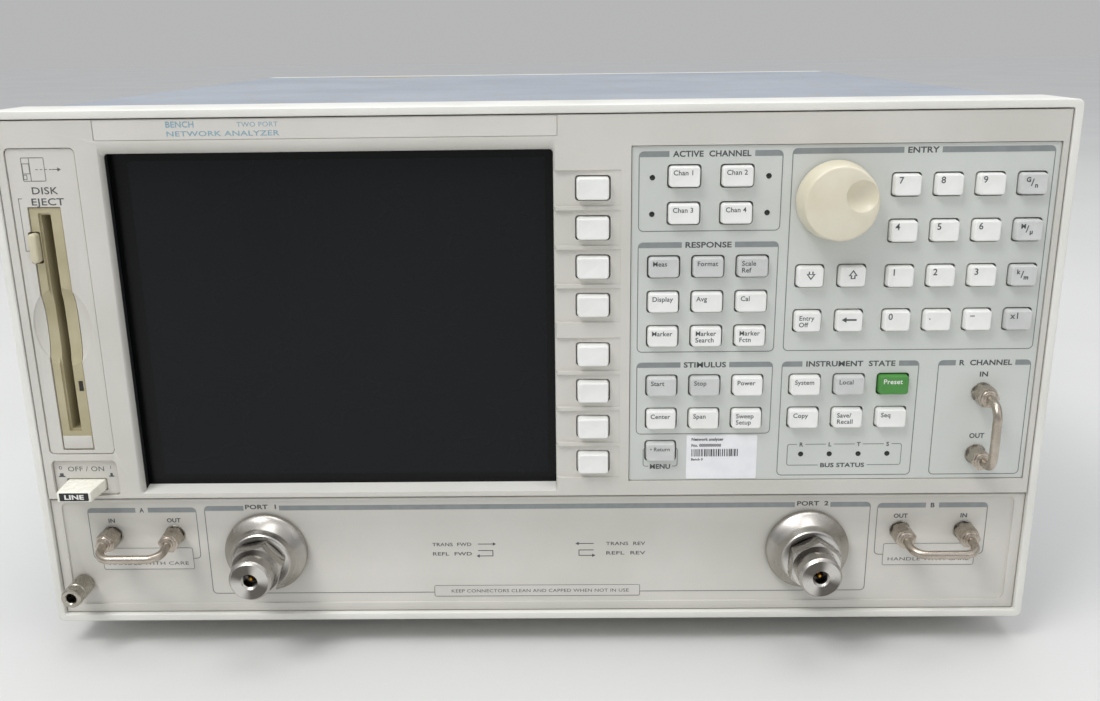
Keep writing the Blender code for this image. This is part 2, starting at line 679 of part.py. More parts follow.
AB_JACKS = [(middle + side * LINK_SPAN / 2, AB_Z) for middle in (A_X, B_X) for side in (-1, 1)]


def key_holes(name, places, size, front, back):
    return blocks(name, [window_span(x, z, size, front, back, KEY_CLEARANCE)
                         for x, z in places])


def upper_front_panel():
    bottom = DIVIDER + GAP
    panel = block("upper_front_panel", (-PANEL_HALF, UPPER_SET, bottom),
                  (PANEL_HALF, PANEL_BACK, PANEL_TOP), PANEL_PAINT)
    front = UPPER_SET - THROUGH
    back = PANEL_BACK + THROUGH
    display = block("display_opening", (GLASS_LEFT, front, GLASS_BOTTOM),
                    (GLASS_RIGHT, back, GLASS_TOP), corner=1.5 * MM)
    label = block("label_pocket", (GLASS_LEFT, front, LABEL_BOTTOM),
                  (GLASS_RIGHT + LABEL_OVERHANG, UPPER_SET + LABEL_DEPTH, HEIGHT))
    keypad = block("keypad_pocket", (KEYPAD_LEFT, front, KEYPAD_BOTTOM),
                   (KEYPAD_RIGHT, OVERLAY_FACE + OVERLAY_THICK + GAP, KEYPAD_TOP))
    window = block("keypad_window", (KEYPAD_LEFT + LEDGE, front, KEYPAD_BOTTOM + LEDGE),
                   (KEYPAD_RIGHT - LEDGE, back, KEYPAD_TOP - LEDGE))
    disk_pocket = block("disk_pocket", (POCKET_X - POCKET_HALF, front, DISK_POCKET_BOTTOM),
                        (POCKET_X + POCKET_HALF, UPPER_SET + DISK_POCKET, DISK_POCKET_TOP),
                        corner=2 * MM)
    half = DRIVE_WIDE / 2 + DRIVE_FIT
    drive = block("drive_opening", (DISK_X - half, front, DRIVE_BOTTOM - DRIVE_FIT),
                  (DISK_X + half, back, DRIVE_BOTTOM + DRIVE_TALL + DRIVE_FIT))
    eject = block("eject_notch", *window_span(EJECT_X, EJECT_Z, EJECT_SIZE, front, back,
                                              BUTTON_FIT))
    line_pocket = block("line_pocket", (POCKET_X - POCKET_HALF, front, LINE_POCKET_LOW),
                        (POCKET_X + POCKET_HALF, UPPER_SET + LINE_POCKET, LINE_POCKET_HIGH),
                        corner=2 * MM)
    line = block("line_opening", *window_span(LINE_X, LINE_Z, LINE_FOOT, front, back,
                                              BUTTON_FIT))
    softkeys = key_holes("softkey_openings", soft_key_places(), SOFT_KEY, front, back)
    cut(panel, display, label, keypad, window, disk_pocket, drive, scoop(), eject, line_pocket,
        line, softkeys, troughs())


def scoop():
    """The oval hollow in which two fingers grip a disk."""
    bm = bmesh.new()
    bmesh.ops.create_uvsphere(bm, u_segments=20, v_segments=12, radius=1,
                              matrix=Matrix.Diagonal((*SCOOP_RADII, 1)))
    middle = DRIVE_BOTTOM + DRIVE_TALL / 2 + 2.2 * MM
    return object_from(bm, "finger_scoop", None, (DISK_X + 1.1 * MM, SCOOP_Y, middle),
                       cutter=True)


def troughs():
    """A shallow ramp beside each softkey, deepest at the display."""
    length = TROUGH_RIGHT - TROUGH_LEFT
    slope = math.atan2(TROUGH_DEPTH, length)
    bm = bmesh.new()
    for _, z in soft_key_places():
        size = (2 * length, THROUGH, TROUGH_HEIGHT)
        box = Matrix.Translation((-length, -THROUGH / 2, 0)) @ Matrix.Diagonal((*size, 1))
        tilt = Matrix.Rotation(-slope, 4, "Z")
        matrix = Matrix.Translation((TROUGH_RIGHT, UPPER_SET, z)) @ tilt @ box
        bmesh.ops.create_cube(bm, size=1, matrix=matrix)
    ramp = object_from(bm, "softkey_troughs", None, (0, 0, 0), cutter=True)
    keep = block("trough_limit", (GLASS_RIGHT - LIP_ROUND, UPPER_SET - THROUGH, DIVIDER),
                 (TROUGH_RIGHT, PANEL_BACK, HEIGHT))
    clip = ramp.modifiers.new("between_glass_and_keypad", "BOOLEAN")
    clip.operation = "INTERSECT"
    clip.object = keep
    return ramp


def keypad_overlay():
    plate = block("keypad_overlay",
                  (KEYPAD_LEFT + GAP, OVERLAY_FACE, KEYPAD_BOTTOM + GAP),
                  (KEYPAD_RIGHT - GAP, OVERLAY_FACE + OVERLAY_THICK, KEYPAD_TOP - GAP),
                  OVERLAY_FILM)
    front = OVERLAY_FACE - THROUGH
    back = OVERLAY_FACE + THROUGH
    main = key_holes("main_key_holes", RESPONSE_KEYS + STIMULUS_KEYS + RETURN_KEY + CHANNEL_KEYS
                     + STATE_GRID, MAIN_KEY, front, back)
    entry = key_holes("entry_key_holes", ENTRY_KEYS + EDIT_KEYS, ENTRY_KEY, front, back)
    shaft = rod("shaft_hole", SHAFT_RADIUS + 2 * MM, back, front, KNOB_X, KNOB_Z)
    jacks = rods("r_jack_holes", JACK_HOLE, back, front, R_JACKS)
    cut(plate, main, entry, shaft, jacks)


def lower_front_panel():
    panel = block("lower_front_panel", (-PANEL_HALF, LOWER_SET, LOWER_BOTTOM),
                  (PANEL_HALF, LOWER_BACK, LOWER_TOP), PANEL_PAINT)
    front = LOWER_SET - THROUGH
    back = LOWER_BACK + THROUGH
    side = PANEL_HALF - LOWER_POCKET_SIDE
    tray = block("lower_pocket", (-side, front, LOWER_POCKET_BOTTOM),
                 (side, LOWER_FACE, LOWER_TOP - 1.2 * MM), corner=3 * MM, steps=2)
    ports = rods("port_holes", PORT_BODY + GAP, back, front,
                 [(-PORT_X, PORT_Z), (PORT_X, PORT_Z)], steps=24)
    jacks = rods("ab_jack_holes", JACK_HOLE, back, front, AB_JACKS)
    ground = rod("ground_hole", GROUND_RADIUS - 1 * MM + GAP, back, front, GROUND_X, GROUND_Z)
    cut(panel, tray, ports, jacks, ground)


def display_bezel():
    right = GLASS_RIGHT + BEZEL_WALL
    ring = block("display_bezel", (GLASS_LEFT - BEZEL_WALL, BEZEL_FRONT, DIVIDER + GAP),
                 (right, BEZEL_FRONT + BEZEL_DEPTH, GLASS_TOP + BEZEL_WALL), FRAME_PAINT)
    opening = block("bezel_opening",
                    (GLASS_LEFT - BEZEL_STEP, BEZEL_FRONT - THROUGH, GLASS_BOTTOM - BEZEL_STEP),
                    (GLASS_RIGHT + BEZEL_STEP, BEZEL_FRONT + THROUGH, GLASS_TOP + BEZEL_STEP))
    cut(ring, opening)


def display():
    """The window and, behind it, the flat-panel display in its case."""
    low = (GLASS_LEFT - BEZEL_WALL, WINDOW_FRONT, DIVIDER + GAP)
    back = WINDOW_FRONT + WINDOW_THICK
    high = (GLASS_RIGHT + BEZEL_WALL, back, GLASS_TOP + BEZEL_WALL)
    block("display_window", low, high, GLASS)
    block("lcd_module", (low[0], back + GAP, low[2]), (GLASS_RIGHT, back + LCD_THICK, high[2]),
          BLACK_PLASTIC, edge=1 * MM)


# ---- keys ---------------------------------------------------------------------------------------
def key_pad(name, places, size, material, webs, face=OVERLAY_FACE):
    """Keys moulded on one web, which keeps them in the panel. `webs` are groups of places."""
    spans = []
    for group in webs:
        xs = [x for x, _ in group]
        zs = [z for _, z in group]
        grow_x = size[0] / 2 + WEB_MARGIN
        grow_z = size[1] / 2 + WEB_MARGIN
        spans.append(((min(xs) - grow_x, WEB_FRONT, min(zs) - grow_z),
                      (max(xs) + grow_x, WEB_FRONT + WEB_THICK, max(zs) + grow_z)))
    pad = block(name, *spans[0], material)
    more = [block(f"{name}_web_{index}", *span) for index, span in enumerate(spans[1:])]
    keys = blocks(name + "_caps", [window_span(x, z, size, face - KEY_PROUD,
                                               WEB_FRONT + WEB_THICK / 2, 0)
                                   for x, z in places],
                  corner=KEY_CORNER, taper=KEY_TAPER)
    fuse(pad, *more, keys)


def all_keys():
    """Every pad; the state keys' web leaves the third place of its upper row to the preset key."""
    for index, spot in enumerate(soft_key_places(), start=1):
        key_pad(f"softkey_{index}", [spot], SOFT_KEY, KEY_WHITE, [[spot]], UPPER_SET)
    key_pad("channel_keys", CHANNEL_KEYS, MAIN_KEY, KEY_WHITE, [CHANNEL_KEYS])
    key_pad("response_keys", RESPONSE_KEYS, MAIN_KEY, KEY_WHITE, [RESPONSE_KEYS])
    key_pad("stimulus_keys", STIMULUS_KEYS, MAIN_KEY, KEY_WHITE, [STIMULUS_KEYS])
    key_pad("return_key", RETURN_KEY, MAIN_KEY, KEY_GREY, [RETURN_KEY])
    key_pad("preset_key", PRESET_KEY, MAIN_KEY, KEY_GREEN, [PRESET_KEY])
    key_pad("state_keys", STATE_KEYS, MAIN_KEY, KEY_WHITE, [STATE_KEYS[2:], STATE_KEYS[:4]])
    key_pad("entry_keys", ENTRY_KEYS, ENTRY_KEY, KEY_WHITE, [ENTRY_KEYS])
    key_pad("edit_keys", EDIT_KEYS, ENTRY_KEY, KEY_WHITE, [EDIT_KEYS])


def keypad_board():
    """The circuit board behind all keys, with the knob's encoder soldered to it."""
    back = BOARD_FRONT + BOARD_THICK
    web_half = SOFT_KEY[0] / 2 + WEB_MARGIN
    board = block("keypad_board", (SOFT_X - web_half, BOARD_FRONT, KEYPAD_BOTTOM + LEDGE),
                  (KEYPAD_RIGHT - GAP, back, KEYPAD_TOP - GAP), BOARD_GREEN)
    shaft_front = OVERLAY_FACE - KNOB_HEIGHT + 5 * MM
    shaft = rod("encoder_shaft", SHAFT_RADIUS, back + 2 * MM, shaft_front, KNOB_X, KNOB_Z)
    case = block("encoder_case", (KNOB_X - 11 * MM, BOARD_FRONT + BOARD_THICK / 2,
                                  KNOB_Z - 11 * MM),
                 (KNOB_X + 11 * MM, back + 3.5 * MM, KNOB_Z + 11 * MM))
    jacks = rods("board_jack_holes", JACK_HOLE, back + THROUGH, BOARD_FRONT - THROUGH, R_JACKS)
    cut(fuse(board, shaft, case), jacks)


def knob():
    foot_height = 0.7 * MM                      # clear of the overlay
    top = KNOB_HEIGHT
    bore = SHAFT_RADIUS + SHAFT_FIT
    blind = KNOB_HEIGHT - 5 * MM + GAP
    profile = [(0, top), (KNOB_FACE_RADIUS - 1 * MM, top), (KNOB_FACE_RADIUS, top - 0.6 * MM),
               (KNOB_RADIUS, foot_height + 1 * MM), (KNOB_RADIUS - 0.4 * MM, foot_height),
               (bore, foot_height), (bore, blind), (0, blind)]
    dial = turned("knob", profile, KNOB_CREAM, (KNOB_X, OVERLAY_FACE, KNOB_Z), steps=40)
    bm = bmesh.new()
    bmesh.ops.create_uvsphere(bm, u_segments=16, v_segments=10, radius=KNOB_DIMPLE * 1.25)
    sunk = KNOB_DIMPLE * 0.75
    dimple = object_from(bm, "knob_dimple", None,
                         (KNOB_X + KNOB_DIMPLE_PLACE[0], OVERLAY_FACE - KNOB_HEIGHT - sunk,
                          KNOB_Z + KNOB_DIMPLE_PLACE[1]), cutter=True)
    cut(dial, dimple)


# ---- disk drive and line switch -----------------------------------------------------------------
def disk_drive():
    top = DRIVE_BOTTOM + DRIVE_TALL
    drive = block("disk_drive", (DISK_X - DRIVE_WIDE / 2, DRIVE_FACE, DRIVE_BOTTOM),
                  (DISK_X + DRIVE_WIDE / 2, DRIVE_FACE + DRIVE_LONG, top), DRIVE_TAN)
    slot_z = top - 3 * MM
    slot = block("disk_slot", (SLOT_X - SLOT_WIDE / 2, -THROUGH, slot_z - SLOT_TALL),
                 (SLOT_X + SLOT_WIDE / 2, SLOT_DEEP, slot_z))
    ends = EJECT_STEM_BACK + EJECT_TRAVEL + GAP
    eject = block("eject_pocket", *window_span(EJECT_X, EJECT_Z, EJECT_SIZE, -THROUGH, ends,
                                               BUTTON_FIT))
    cut(drive, slot, eject, bpy.data.objects["finger_scoop"])


def eject_button():
    cap = block("eject_button", *window_span(EJECT_X, EJECT_Z, EJECT_SIZE,
                                             UPPER_SET - EJECT_PROUD, PANEL_BACK, 0),
                IVORY, edge=0.8 * MM)
    stem = block("eject_stem", *window_span(EJECT_X, EJECT_Z, (2.4 * MM, 8 * MM),
                                            PANEL_BACK - 1 * MM, EJECT_STEM_BACK, 0))
    fuse(cap, stem)


def line_switch():
    front = LINE_STEM_BACK + LINE_TRAVEL + GAP
    block("line_switch", (LINE_X - 8 * MM, front, LINE_Z - 6.5 * MM),
          (LINE_X + 8 * MM, front + 32 * MM, LINE_Z + 7.5 * MM), BLACK_PLASTIC, edge=0.8 * MM)


def line_button():
    """The latching line button: a tapered cap with a flat stem to the switch."""
    taper = (LINE_FOOT[0] - LINE_FACE[0]) / 2
    front = UPPER_SET - LINE_PROUD
    cap = block("line_button", *window_span(LINE_X, LINE_Z, LINE_FOOT, UPPER_SET, 7 * MM, 0),
                IVORY)
    nose = tapered_nose("line_button_nose", front, UPPER_SET + 0.5 * MM, taper)
    stem = block("line_button_stem", *window_span(LINE_X, LINE_Z, (9 * MM, 3.4 * MM), 6 * MM,
                                                  LINE_STEM_BACK, 0))
    fuse(cap, nose, stem)


def tapered_nose(name, front, back, taper):
    """The cap's visible part, narrower at its face and a little lower at its sides."""
    low, high = window_span(LINE_X, LINE_Z, LINE_FOOT, front, back, 0)
    bm = bmesh.new()
    add_block(bm, low, high)
    drop = (LINE_FOOT[1] - LINE_FACE[1]) / 2
    for vert in bm.verts:
        if vert.co.y < (front + back) / 2:
            vert.co.x += math.copysign(taper, LINE_X - vert.co.x)
            vert.co.z += math.copysign(drop, LINE_Z - vert.co.z)
    return object_from(bm, name, None, (0, 0, 0), cutter=True)


# ---- test ports, jacks and links ----------------------------------------------------------------
def port(number, x):
    """A test port: flange and cone on the panel, core and pin; its nut turns on the core."""
    seat = -(LOWER_FACE - GAP)
    core_end = PORT_REACH - 6 * MM
    pin_end = PORT_REACH - 2.5 * MM
    profile = [(0, pin_end), (PORT_PIN, pin_end), (PORT_PIN, core_end), (PORT_CORE, core_end),
               (PORT_CORE, PORT_CONE_REACH), (PORT_CONE, PORT_CONE_REACH - 0.6 * MM),
               (PORT_CONE + 1.2 * MM, PORT_CONE_REACH - 3.4 * MM),
               (PORT_FLANGE - 1.2 * MM, 1.6 * MM), (PORT_FLANGE, 0.4 * MM),
               (PORT_FLANGE, seat), (PORT_BODY, seat), (PORT_BODY, -PORT_BACK), (0, -PORT_BACK)]
    turned(f"port_{number}_connector", profile, STEEL, (x, 0, PORT_Z), steps=32)
    nut(number, x, core_end)


def nut(number, x, core_end):
    name = f"port_{number}_nut"
    rear = PORT_CONE_REACH + 2 * NUT_FIT
    collar = rear + NUT_HEX_LONG
    bore = PORT_CORE + NUT_FIT
    front = PORT_REACH
    shoulder = core_end + NUT_FIT
    profile = [(PORT_BORE, front), (NUT_NECK - 0.7 * MM, front),
               (NUT_NECK, front - 0.7 * MM), (NUT_NECK, rear + 1 * MM),
               (NUT_NECK - 0.5 * MM, rear), (bore, rear), (bore, shoulder),
               (PORT_BORE, shoulder)]
    neck = turned(name, profile, STEEL, (x, 0, PORT_Z), steps=32)
    corner = NUT_FLATS / 2 / math.cos(math.pi / 6)
    hexagon = rod(name + "_hex", corner, -(rear + 0.5 * MM), -collar, x, PORT_Z, steps=6,
                  sides_turn=math.radians(18))
    hole = rod(name + "_hex_hole", NUT_NECK - 1 * MM, 0, -PORT_REACH - THROUGH, x, PORT_Z,
               steps=16)
    cut(hexagon, hole)
    fuse(neck, hexagon)


def jack_bracket():
    """A bent plate behind the panels that carries the six bulkhead jacks of the links."""
    front = LOWER_BACK + GAP
    back = front + SHEET
    ear = 7 * MM
    low = AB_Z - ear
    high = PORT_Z + PORT_BODY + 10 * MM
    bar_low = PORT_Z + PORT_BODY + 3 * MM
    a_left = A_X - LINK_SPAN / 2 - ear
    b_right = max(B_X + LINK_SPAN / 2, R_X) + ear
    bar = block("jack_bracket", (a_left, front, bar_low), (b_right, back, high), SHEET_METAL)
    ears = [block(f"jack_ear_{name}", (x - LINK_SPAN / 2 - ear, front, low),
                  (x + LINK_SPAN / 2 + ear, back, high)) for name, x in (("a", A_X), ("b", B_X))]
    arm = block("jack_arm", (R_X - ear, front, high - 2 * MM),
                (R_X + ear, back, R_Z + LINK_SPAN / 2 + ear))
    tops = -JACK_REACH
    jacks = rods("jacks", JACK_RADIUS, back + 5 * MM, tops, AB_JACKS + R_JACKS)
    fuse(bar, *ears, arm, jacks)


def link(name, first, second, droop):
    """A bent semi-rigid jumper with a coupling nut at each end."""
    start, end = [Vector((x, -LINK_NUT_REACH + 1 * MM, z)) for x, z in (first, second)]
    away = Vector((0, -1, 0))
    route = staple(start, end, LINK_REACH - LINK_NUT_REACH + 1 * MM, LINK_BEND, away, droop)
    wire = tube(name, route, LINK_RADIUS, LINK_METAL)
    corner = LINK_NUT_FLATS / 2 / math.cos(math.pi / 6)
    places = (first, second)
    nut_back = OVERLAY_FACE - GAP
    nuts = rods(name + "_nuts", corner, nut_back, -LINK_NUT_REACH, places, steps=6)
    bores = rods(name + "_bores", JACK_RADIUS + GAP, nut_back + THROUGH, -JACK_REACH - GAP,
                 places)
    cut(fuse(wire, nuts), bores)


def ground_jack():
    seat = -(LOWER_FACE - GAP)
    reach = GROUND_REACH
    profile = [(0, 1 * MM), (GROUND_BORE, 1 * MM), (GROUND_BORE, reach - 0.6 * MM),
               (GROUND_RADIUS - 1.4 * MM, reach), (GROUND_RADIUS - 0.4 * MM, reach),
               (GROUND_RADIUS, reach - 0.8 * MM), (GROUND_RADIUS, seat),
               (GROUND_RADIUS - 1 * MM, seat), (GROUND_RADIUS - 1 * MM, -14 * MM),
               (0, -14 * MM)]
    turned("ground_jack", profile, STEEL, (GROUND_X, 0, GROUND_Z), steps=20)


# ---- inside -------------------------------------------------------------------------------------
def chassis():
    """Four corner struts between the frames, tied by two side walls and a floor behind the drive."""
    front = FRAME_DEPTH + GAP
    back = REAR_FRAME_FRONT - GAP
    low = COVER_DROP + COVER_FLANGE / 2
    lap = SHEET / 2
    step = 1 * MM                   # floor, walls and struts end one behind the other
    floor = block("chassis", (lap - CHASSIS_HALF, CHASSIS_FRONT + step, low + step),
                  (CHASSIS_HALF - lap, back - 2 * step, low + step + SHEET), SHEET_METAL)
    walls = [side_block(f"wall_{side}", side, CHASSIS_HALF - SHEET, CHASSIS_HALF, CHASSIS_FRONT,
                        back - step, low, HEIGHT - low) for side in (-1, 1)]
    outer = min(CHASSIS_HALF + STRUT[0], SIDE_WALL - SHEET - GAP)
    levels = {"low": low - step, "high": HEIGHT - low - STRUT[1] + step}
    struts = [side_block(f"strut_{side}_{level}", side, CHASSIS_HALF - lap, outer, front, back,
                         z, z + STRUT[1])
              for side in (-1, 1) for level, z in levels.items()]
    fuse(floor, *walls, *struts)


def rf_deck():
    """The test set behind the ports: a deck with two couplers, the source and the switch."""
    front = PORT_BACK + 5 * MM
    back = CHASSIS_FRONT - 4 * MM
    low = FRAME_WALL + 2 * MM
    half = CHASSIS_HALF - DECK_ROOM
    deck = block("rf_deck", (-half, front, low), (half, back, low + DECK_THICK), SHEET_METAL)
    high = PORT_Z + COUPLER_RISE
    boxes = blocks("rf_boxes", [
        *[((x - COUPLER_HALF, front + 1 * MM, low + 1 * MM),
           (x + COUPLER_HALF, back - 1 * MM, high)) for x in (-PORT_X, PORT_X)],
        ((-45 * MM, front + 20 * MM, low + 1 * MM), (15 * MM, front + 85 * MM, high - 2 * MM)),
        ((30 * MM, front + 25 * MM, low + 1 * MM), (75 * MM, front + 75 * MM, high - 6 * MM))])
    fuse(deck, boxes)


def motherboard():
    """The main board with five upright cards and the processor board's rear connectors."""
    low = COVER_DROP + COVER_FLANGE / 2 + SHEET + 8 * MM
    front = CHASSIS_FRONT + 12 * MM
    back = REAR_PANEL_Y - FAN_THICK - 12 * MM
    left = -CHASSIS_HALF + BOARD_WALL_ROOM
    board = block("motherboard", (left, front, low), (BOARD_RIGHT, back, low + 2 * MM),
                  BOARD_GREEN)
    card_places = [left + FIRST_CARD + CARD_PITCH * index for index in range(CARD_COUNT)]
    cards = blocks("cards", [((x, front + 5 * MM, low + 1 * MM),
                              (x + CARD_THICK, back - 5 * MM, HEIGHT - CARD_DROP))
                             for x in card_places])
    half = PORTS_SIZE[0] / 2
    top = PORTS_Z + PORTS_SIZE[1] / 2
    rear = block("processor_board", (card_places[-1] + 1 * MM, back - 60 * MM, PORTS_Z - 4 * MM),
                 (PORTS_X + half, REAR_PANEL_Y - 3 * MM, PORTS_Z - 1 * MM))
    bank = block("rear_connectors", (PORTS_X - half, REAR_PANEL_Y - 12 * MM,
                                     PORTS_Z - PORTS_SIZE[1] / 2),
                 (PORTS_X + half, REAR_PANEL_Y + 5 * MM, top))
    fuse(board, cards, rear, bank)


def power_supply():
    """The power supply, with the mains inlet that shows through the rear panel."""
    back = REAR_PANEL_Y - 6 * MM
    low = COVER_DROP + COVER_FLANGE / 2 + SHEET + 6 * MM
    wide, deep, tall = SUPPLY_SIZE
    box = block("power_supply", (SUPPLY_RIGHT - wide, back - deep, low),
                (SUPPLY_RIGHT, back, low + tall), SHEET_METAL)
    inlet = block("mains_inlet", *window_span(INLET_X, INLET_Z, INLET_SIZE, back - 4 * MM,
                                              REAR_PANEL_Y + SHEET + 2 * MM, 0))
    socket = block("inlet_socket", *window_span(INLET_X, INLET_Z, INLET_SOCKET,
                                                REAR_PANEL_Y - 2 * MM, DEPTH + THROUGH, 0),
                   corner=4 * MM)
    cut(fuse(box, inlet), socket)


def fan():
    """The cooling fan: a square frame with four arms to its motor, and a seven-bladed rotor."""
    back = REAR_PANEL_Y - GAP
    front = back - FAN_THICK
    half = FAN_SIZE / 2
    frame = block("fan_frame", (FAN_X - half, front, FAN_Z - half), (FAN_X + half, back,
                                                                     FAN_Z + half),
                  BLACK_PLASTIC, corner=4 * MM, steps=2)
    duct = rod("fan_duct", FAN_DUCT, back + THROUGH, front - THROUGH, FAN_X, FAN_Z, steps=32)
    cut(frame, duct)
    reach = FAN_DUCT + 1.5 * MM
    arm_front = back - 3 * MM
    arms = [block("fan_arm_level", (FAN_X - reach, arm_front, FAN_Z - 3 * MM),
                  (FAN_X + reach, back - 0.5 * MM, FAN_Z + 3 * MM)),
            block("fan_arm_upright", (FAN_X - 3 * MM, arm_front, FAN_Z - reach),
                  (FAN_X + 3 * MM, back - 0.5 * MM, FAN_Z + reach))]
    motor = rod("fan_motor", FAN_HUB - 2 * MM, back - 1 * MM, back - 6 * MM, FAN_X, FAN_Z,
                steps=20)
    fuse(frame, *arms, motor)
    rotor_back = back - 6 * MM - 2 * GAP
    rotor_front = front + 1.5 * MM
    hub = rod("fan_rotor", FAN_HUB, rotor_back, rotor_front, FAN_X, FAN_Z, BLACK_PLASTIC,
              steps=21)
    bm = bmesh.new()
    middle = Matrix.Translation((FAN_X, (rotor_back + rotor_front) / 2, FAN_Z))
    length = FAN_DUCT - FAN_HUB - 1 * MM
    for index in range(FAN_BLADES):
        spin = Matrix.Rotation(2 * math.pi * index / FAN_BLADES, 4, "Y")
        pitch = Matrix.Rotation(math.radians(32), 4, "Z")
        shape = Matrix.Diagonal((16 * MM, 1.4 * MM, length, 1))
        out = Matrix.Translation((0, 0, FAN_HUB + length / 2 - 1 * MM))
        bmesh.ops.create_cube(bm, size=1, matrix=middle @ spin @ out @ pitch @ shape)
    blades = object_from(bm, "fan_blades", None, (0, 0, 0), cutter=True)
    fuse(hub, blades)


# ---- the whole instrument -----------------------------------------------------------------------
def build():
    front_frame()
    rear_frame()
    cover("top_cover", HEIGHT - COVER_DROP, -1)
    cover("bottom_cover", COVER_DROP, 1)
    for word, side in (("left", -1), ("right", 1)):
        side_cover(f"side_cover_{word}", side)
        strap_handle(f"strap_handle_{word}", side)
        foot(f"foot_front_{word}", side * FOOT_X, FRONT_FOOT_Y, pivots=True)
        foot(f"foot_rear_{word}", side * FOOT_X, DEPTH - REAR_FOOT_INSET)
        tilt_stand(f"tilt_stand_{word}", side * FOOT_X)
        rear_guard(f"rear_guard_{word}", side)
    rear_panel()
    upper_front_panel()
    keypad_overlay()
    lower_front_panel()
    display_bezel()
    display()
    all_keys()
    keypad_board()
    knob()
    disk_drive()
    eject_button()
    line_switch()
    line_button()
    port(1, -PORT_X)
    port(2, PORT_X)
    jack_bracket()
    link("link_a", AB_JACKS[0], AB_JACKS[1], Vector((0, 0, -LINK_DROOP)))
    link("link_b", AB_JACKS[2], AB_JACKS[3], Vector((0, 0, -LINK_DROOP)))
    link("link_r", R_JACKS[0], R_JACKS[1], Vector())
    ground_jack()
    chassis()
    rf_deck()
    motherboard()
    power_supply()
    fan()
    for obj in PARTS.objects:
        if obj.type == "MESH":
            obj.data.shade_smooth()
            obj.data.set_sharp_from_angle(angle=math.radians(30))


build()
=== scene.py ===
"""Finishes and close-up pieces of the bench network analyzer.

Sizes are millimetres in the instrument's own frame: x to the right, y back from the front frame's
face, z up from the frame's lower edge. `spot` turns such a place into the scene's metres.
"""
import math
import random

import bmesh
import bpy
from mathutils import Matrix, Vector


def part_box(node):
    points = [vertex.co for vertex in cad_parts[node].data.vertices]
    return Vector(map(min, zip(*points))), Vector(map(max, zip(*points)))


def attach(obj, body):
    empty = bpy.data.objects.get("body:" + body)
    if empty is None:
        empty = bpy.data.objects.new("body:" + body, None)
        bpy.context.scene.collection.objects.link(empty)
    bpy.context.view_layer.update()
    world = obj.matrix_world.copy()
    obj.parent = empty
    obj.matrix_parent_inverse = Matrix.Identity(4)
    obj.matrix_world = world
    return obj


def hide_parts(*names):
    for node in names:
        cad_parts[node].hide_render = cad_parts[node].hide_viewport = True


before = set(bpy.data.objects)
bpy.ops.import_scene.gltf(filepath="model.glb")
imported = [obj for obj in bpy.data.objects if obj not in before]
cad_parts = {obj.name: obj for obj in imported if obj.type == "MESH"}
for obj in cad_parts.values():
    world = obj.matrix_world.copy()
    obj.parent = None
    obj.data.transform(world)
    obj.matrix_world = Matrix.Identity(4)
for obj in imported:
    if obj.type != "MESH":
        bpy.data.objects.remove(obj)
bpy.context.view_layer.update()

MM = 0.001
ORIGIN = Vector((0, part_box("front_frame")[0].y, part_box("front_frame")[0].z))
FACING = (math.pi / 2, 0, 0)        # turns what lies flat so that it faces the front
TURN = 2 * math.pi


def spot(x, y, z):
    return ORIGIN + Vector((x, y, z)) * MM


def span(node):
    """A CAD node's lowest and highest corner, in the instrument's millimetres."""
    return [(corner - ORIGIN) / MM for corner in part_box(node)]


def middle(node):
    low, high = span(node)
    return (low + high) / 2


# ---- sizes shared with the CAD pieces -----------------------------------------------------------
HALF, TALL = span("front_frame")[1].x, span("front_frame")[1].z
FRAME_DEEP = span("front_frame")[1].y
RIM = 3.2
RIM_DEEP = 14
FRAME_WALL = 7
UPPER_LOW, UPPER_HIGH = span("upper_front_panel")
LOWER_LOW, LOWER_HIGH = span("lower_front_panel")
OVERLAY_LOW, OVERLAY_HIGH = span("keypad_overlay")
UPPER_Y = UPPER_LOW.y
OVERLAY_Y = OVERLAY_LOW.y
LOWER_Y = LOWER_LOW.y + 0.8         # floor of the lower panel's tray
GLASS_X = (-HALF + 44.8, 9.3)
GLASS_Z = (60.8, 204.4)
MAIN_KEY = (12.7, 8.7)
ENTRY_KEY = (11.1, 9.0)
SOFT_KEY = (13.4, 9.4)
KEY_PROUD = 3.0
KEY_GAP = 0.35
DISH = 0.06                         # a key's face is sunk this far inside its edge
WEB_MARGIN = 1.5
WEB_Y = 5.0
WEB_THICK = 1.2
PRINT = 0.04                        # printed ink and films stand this far off what they are on


# ---- materials ----------------------------------------------------------------------------------
def linear(colour, alpha=1.0):
    """An sRGB hex value as linear RGBA."""
    channels = [((colour >> shift) & 255) / 255 for shift in (16, 8, 0)]
    return [c / 12.92 if c <= 0.04045 else ((c + 0.055) / 1.055) ** 2.4
            for c in channels] + [alpha]


def add_node(tree, kind, sockets=(), **settings):
    """Adds a node. `sockets` maps its inputs to plain values or to other nodes' outputs."""
    made = tree.nodes.new(kind)
    for name, value in settings.items():
        setattr(made, name, value)
    for name, value in dict(sockets).items():
        if isinstance(value, bpy.types.NodeSocket):
            tree.links.new(value, made.inputs[name])
        else:
            made.inputs[name].default_value = value
    return made


def material(name, roughness, **sockets):
    """A new material with these values on its shader; returns it, its tree, shader and place."""
    made = bpy.data.materials.new(name)
    made.use_nodes = True
    shader = made.node_tree.nodes["Principled BSDF"]
    shader.inputs["Roughness"].default_value = roughness
    for socket, value in sockets.items():
        shader.inputs[socket.replace("_", " ")].default_value = value
    place = add_node(made.node_tree, "ShaderNodeTexCoord").outputs["Object"]
    return made, made.node_tree, shader, place


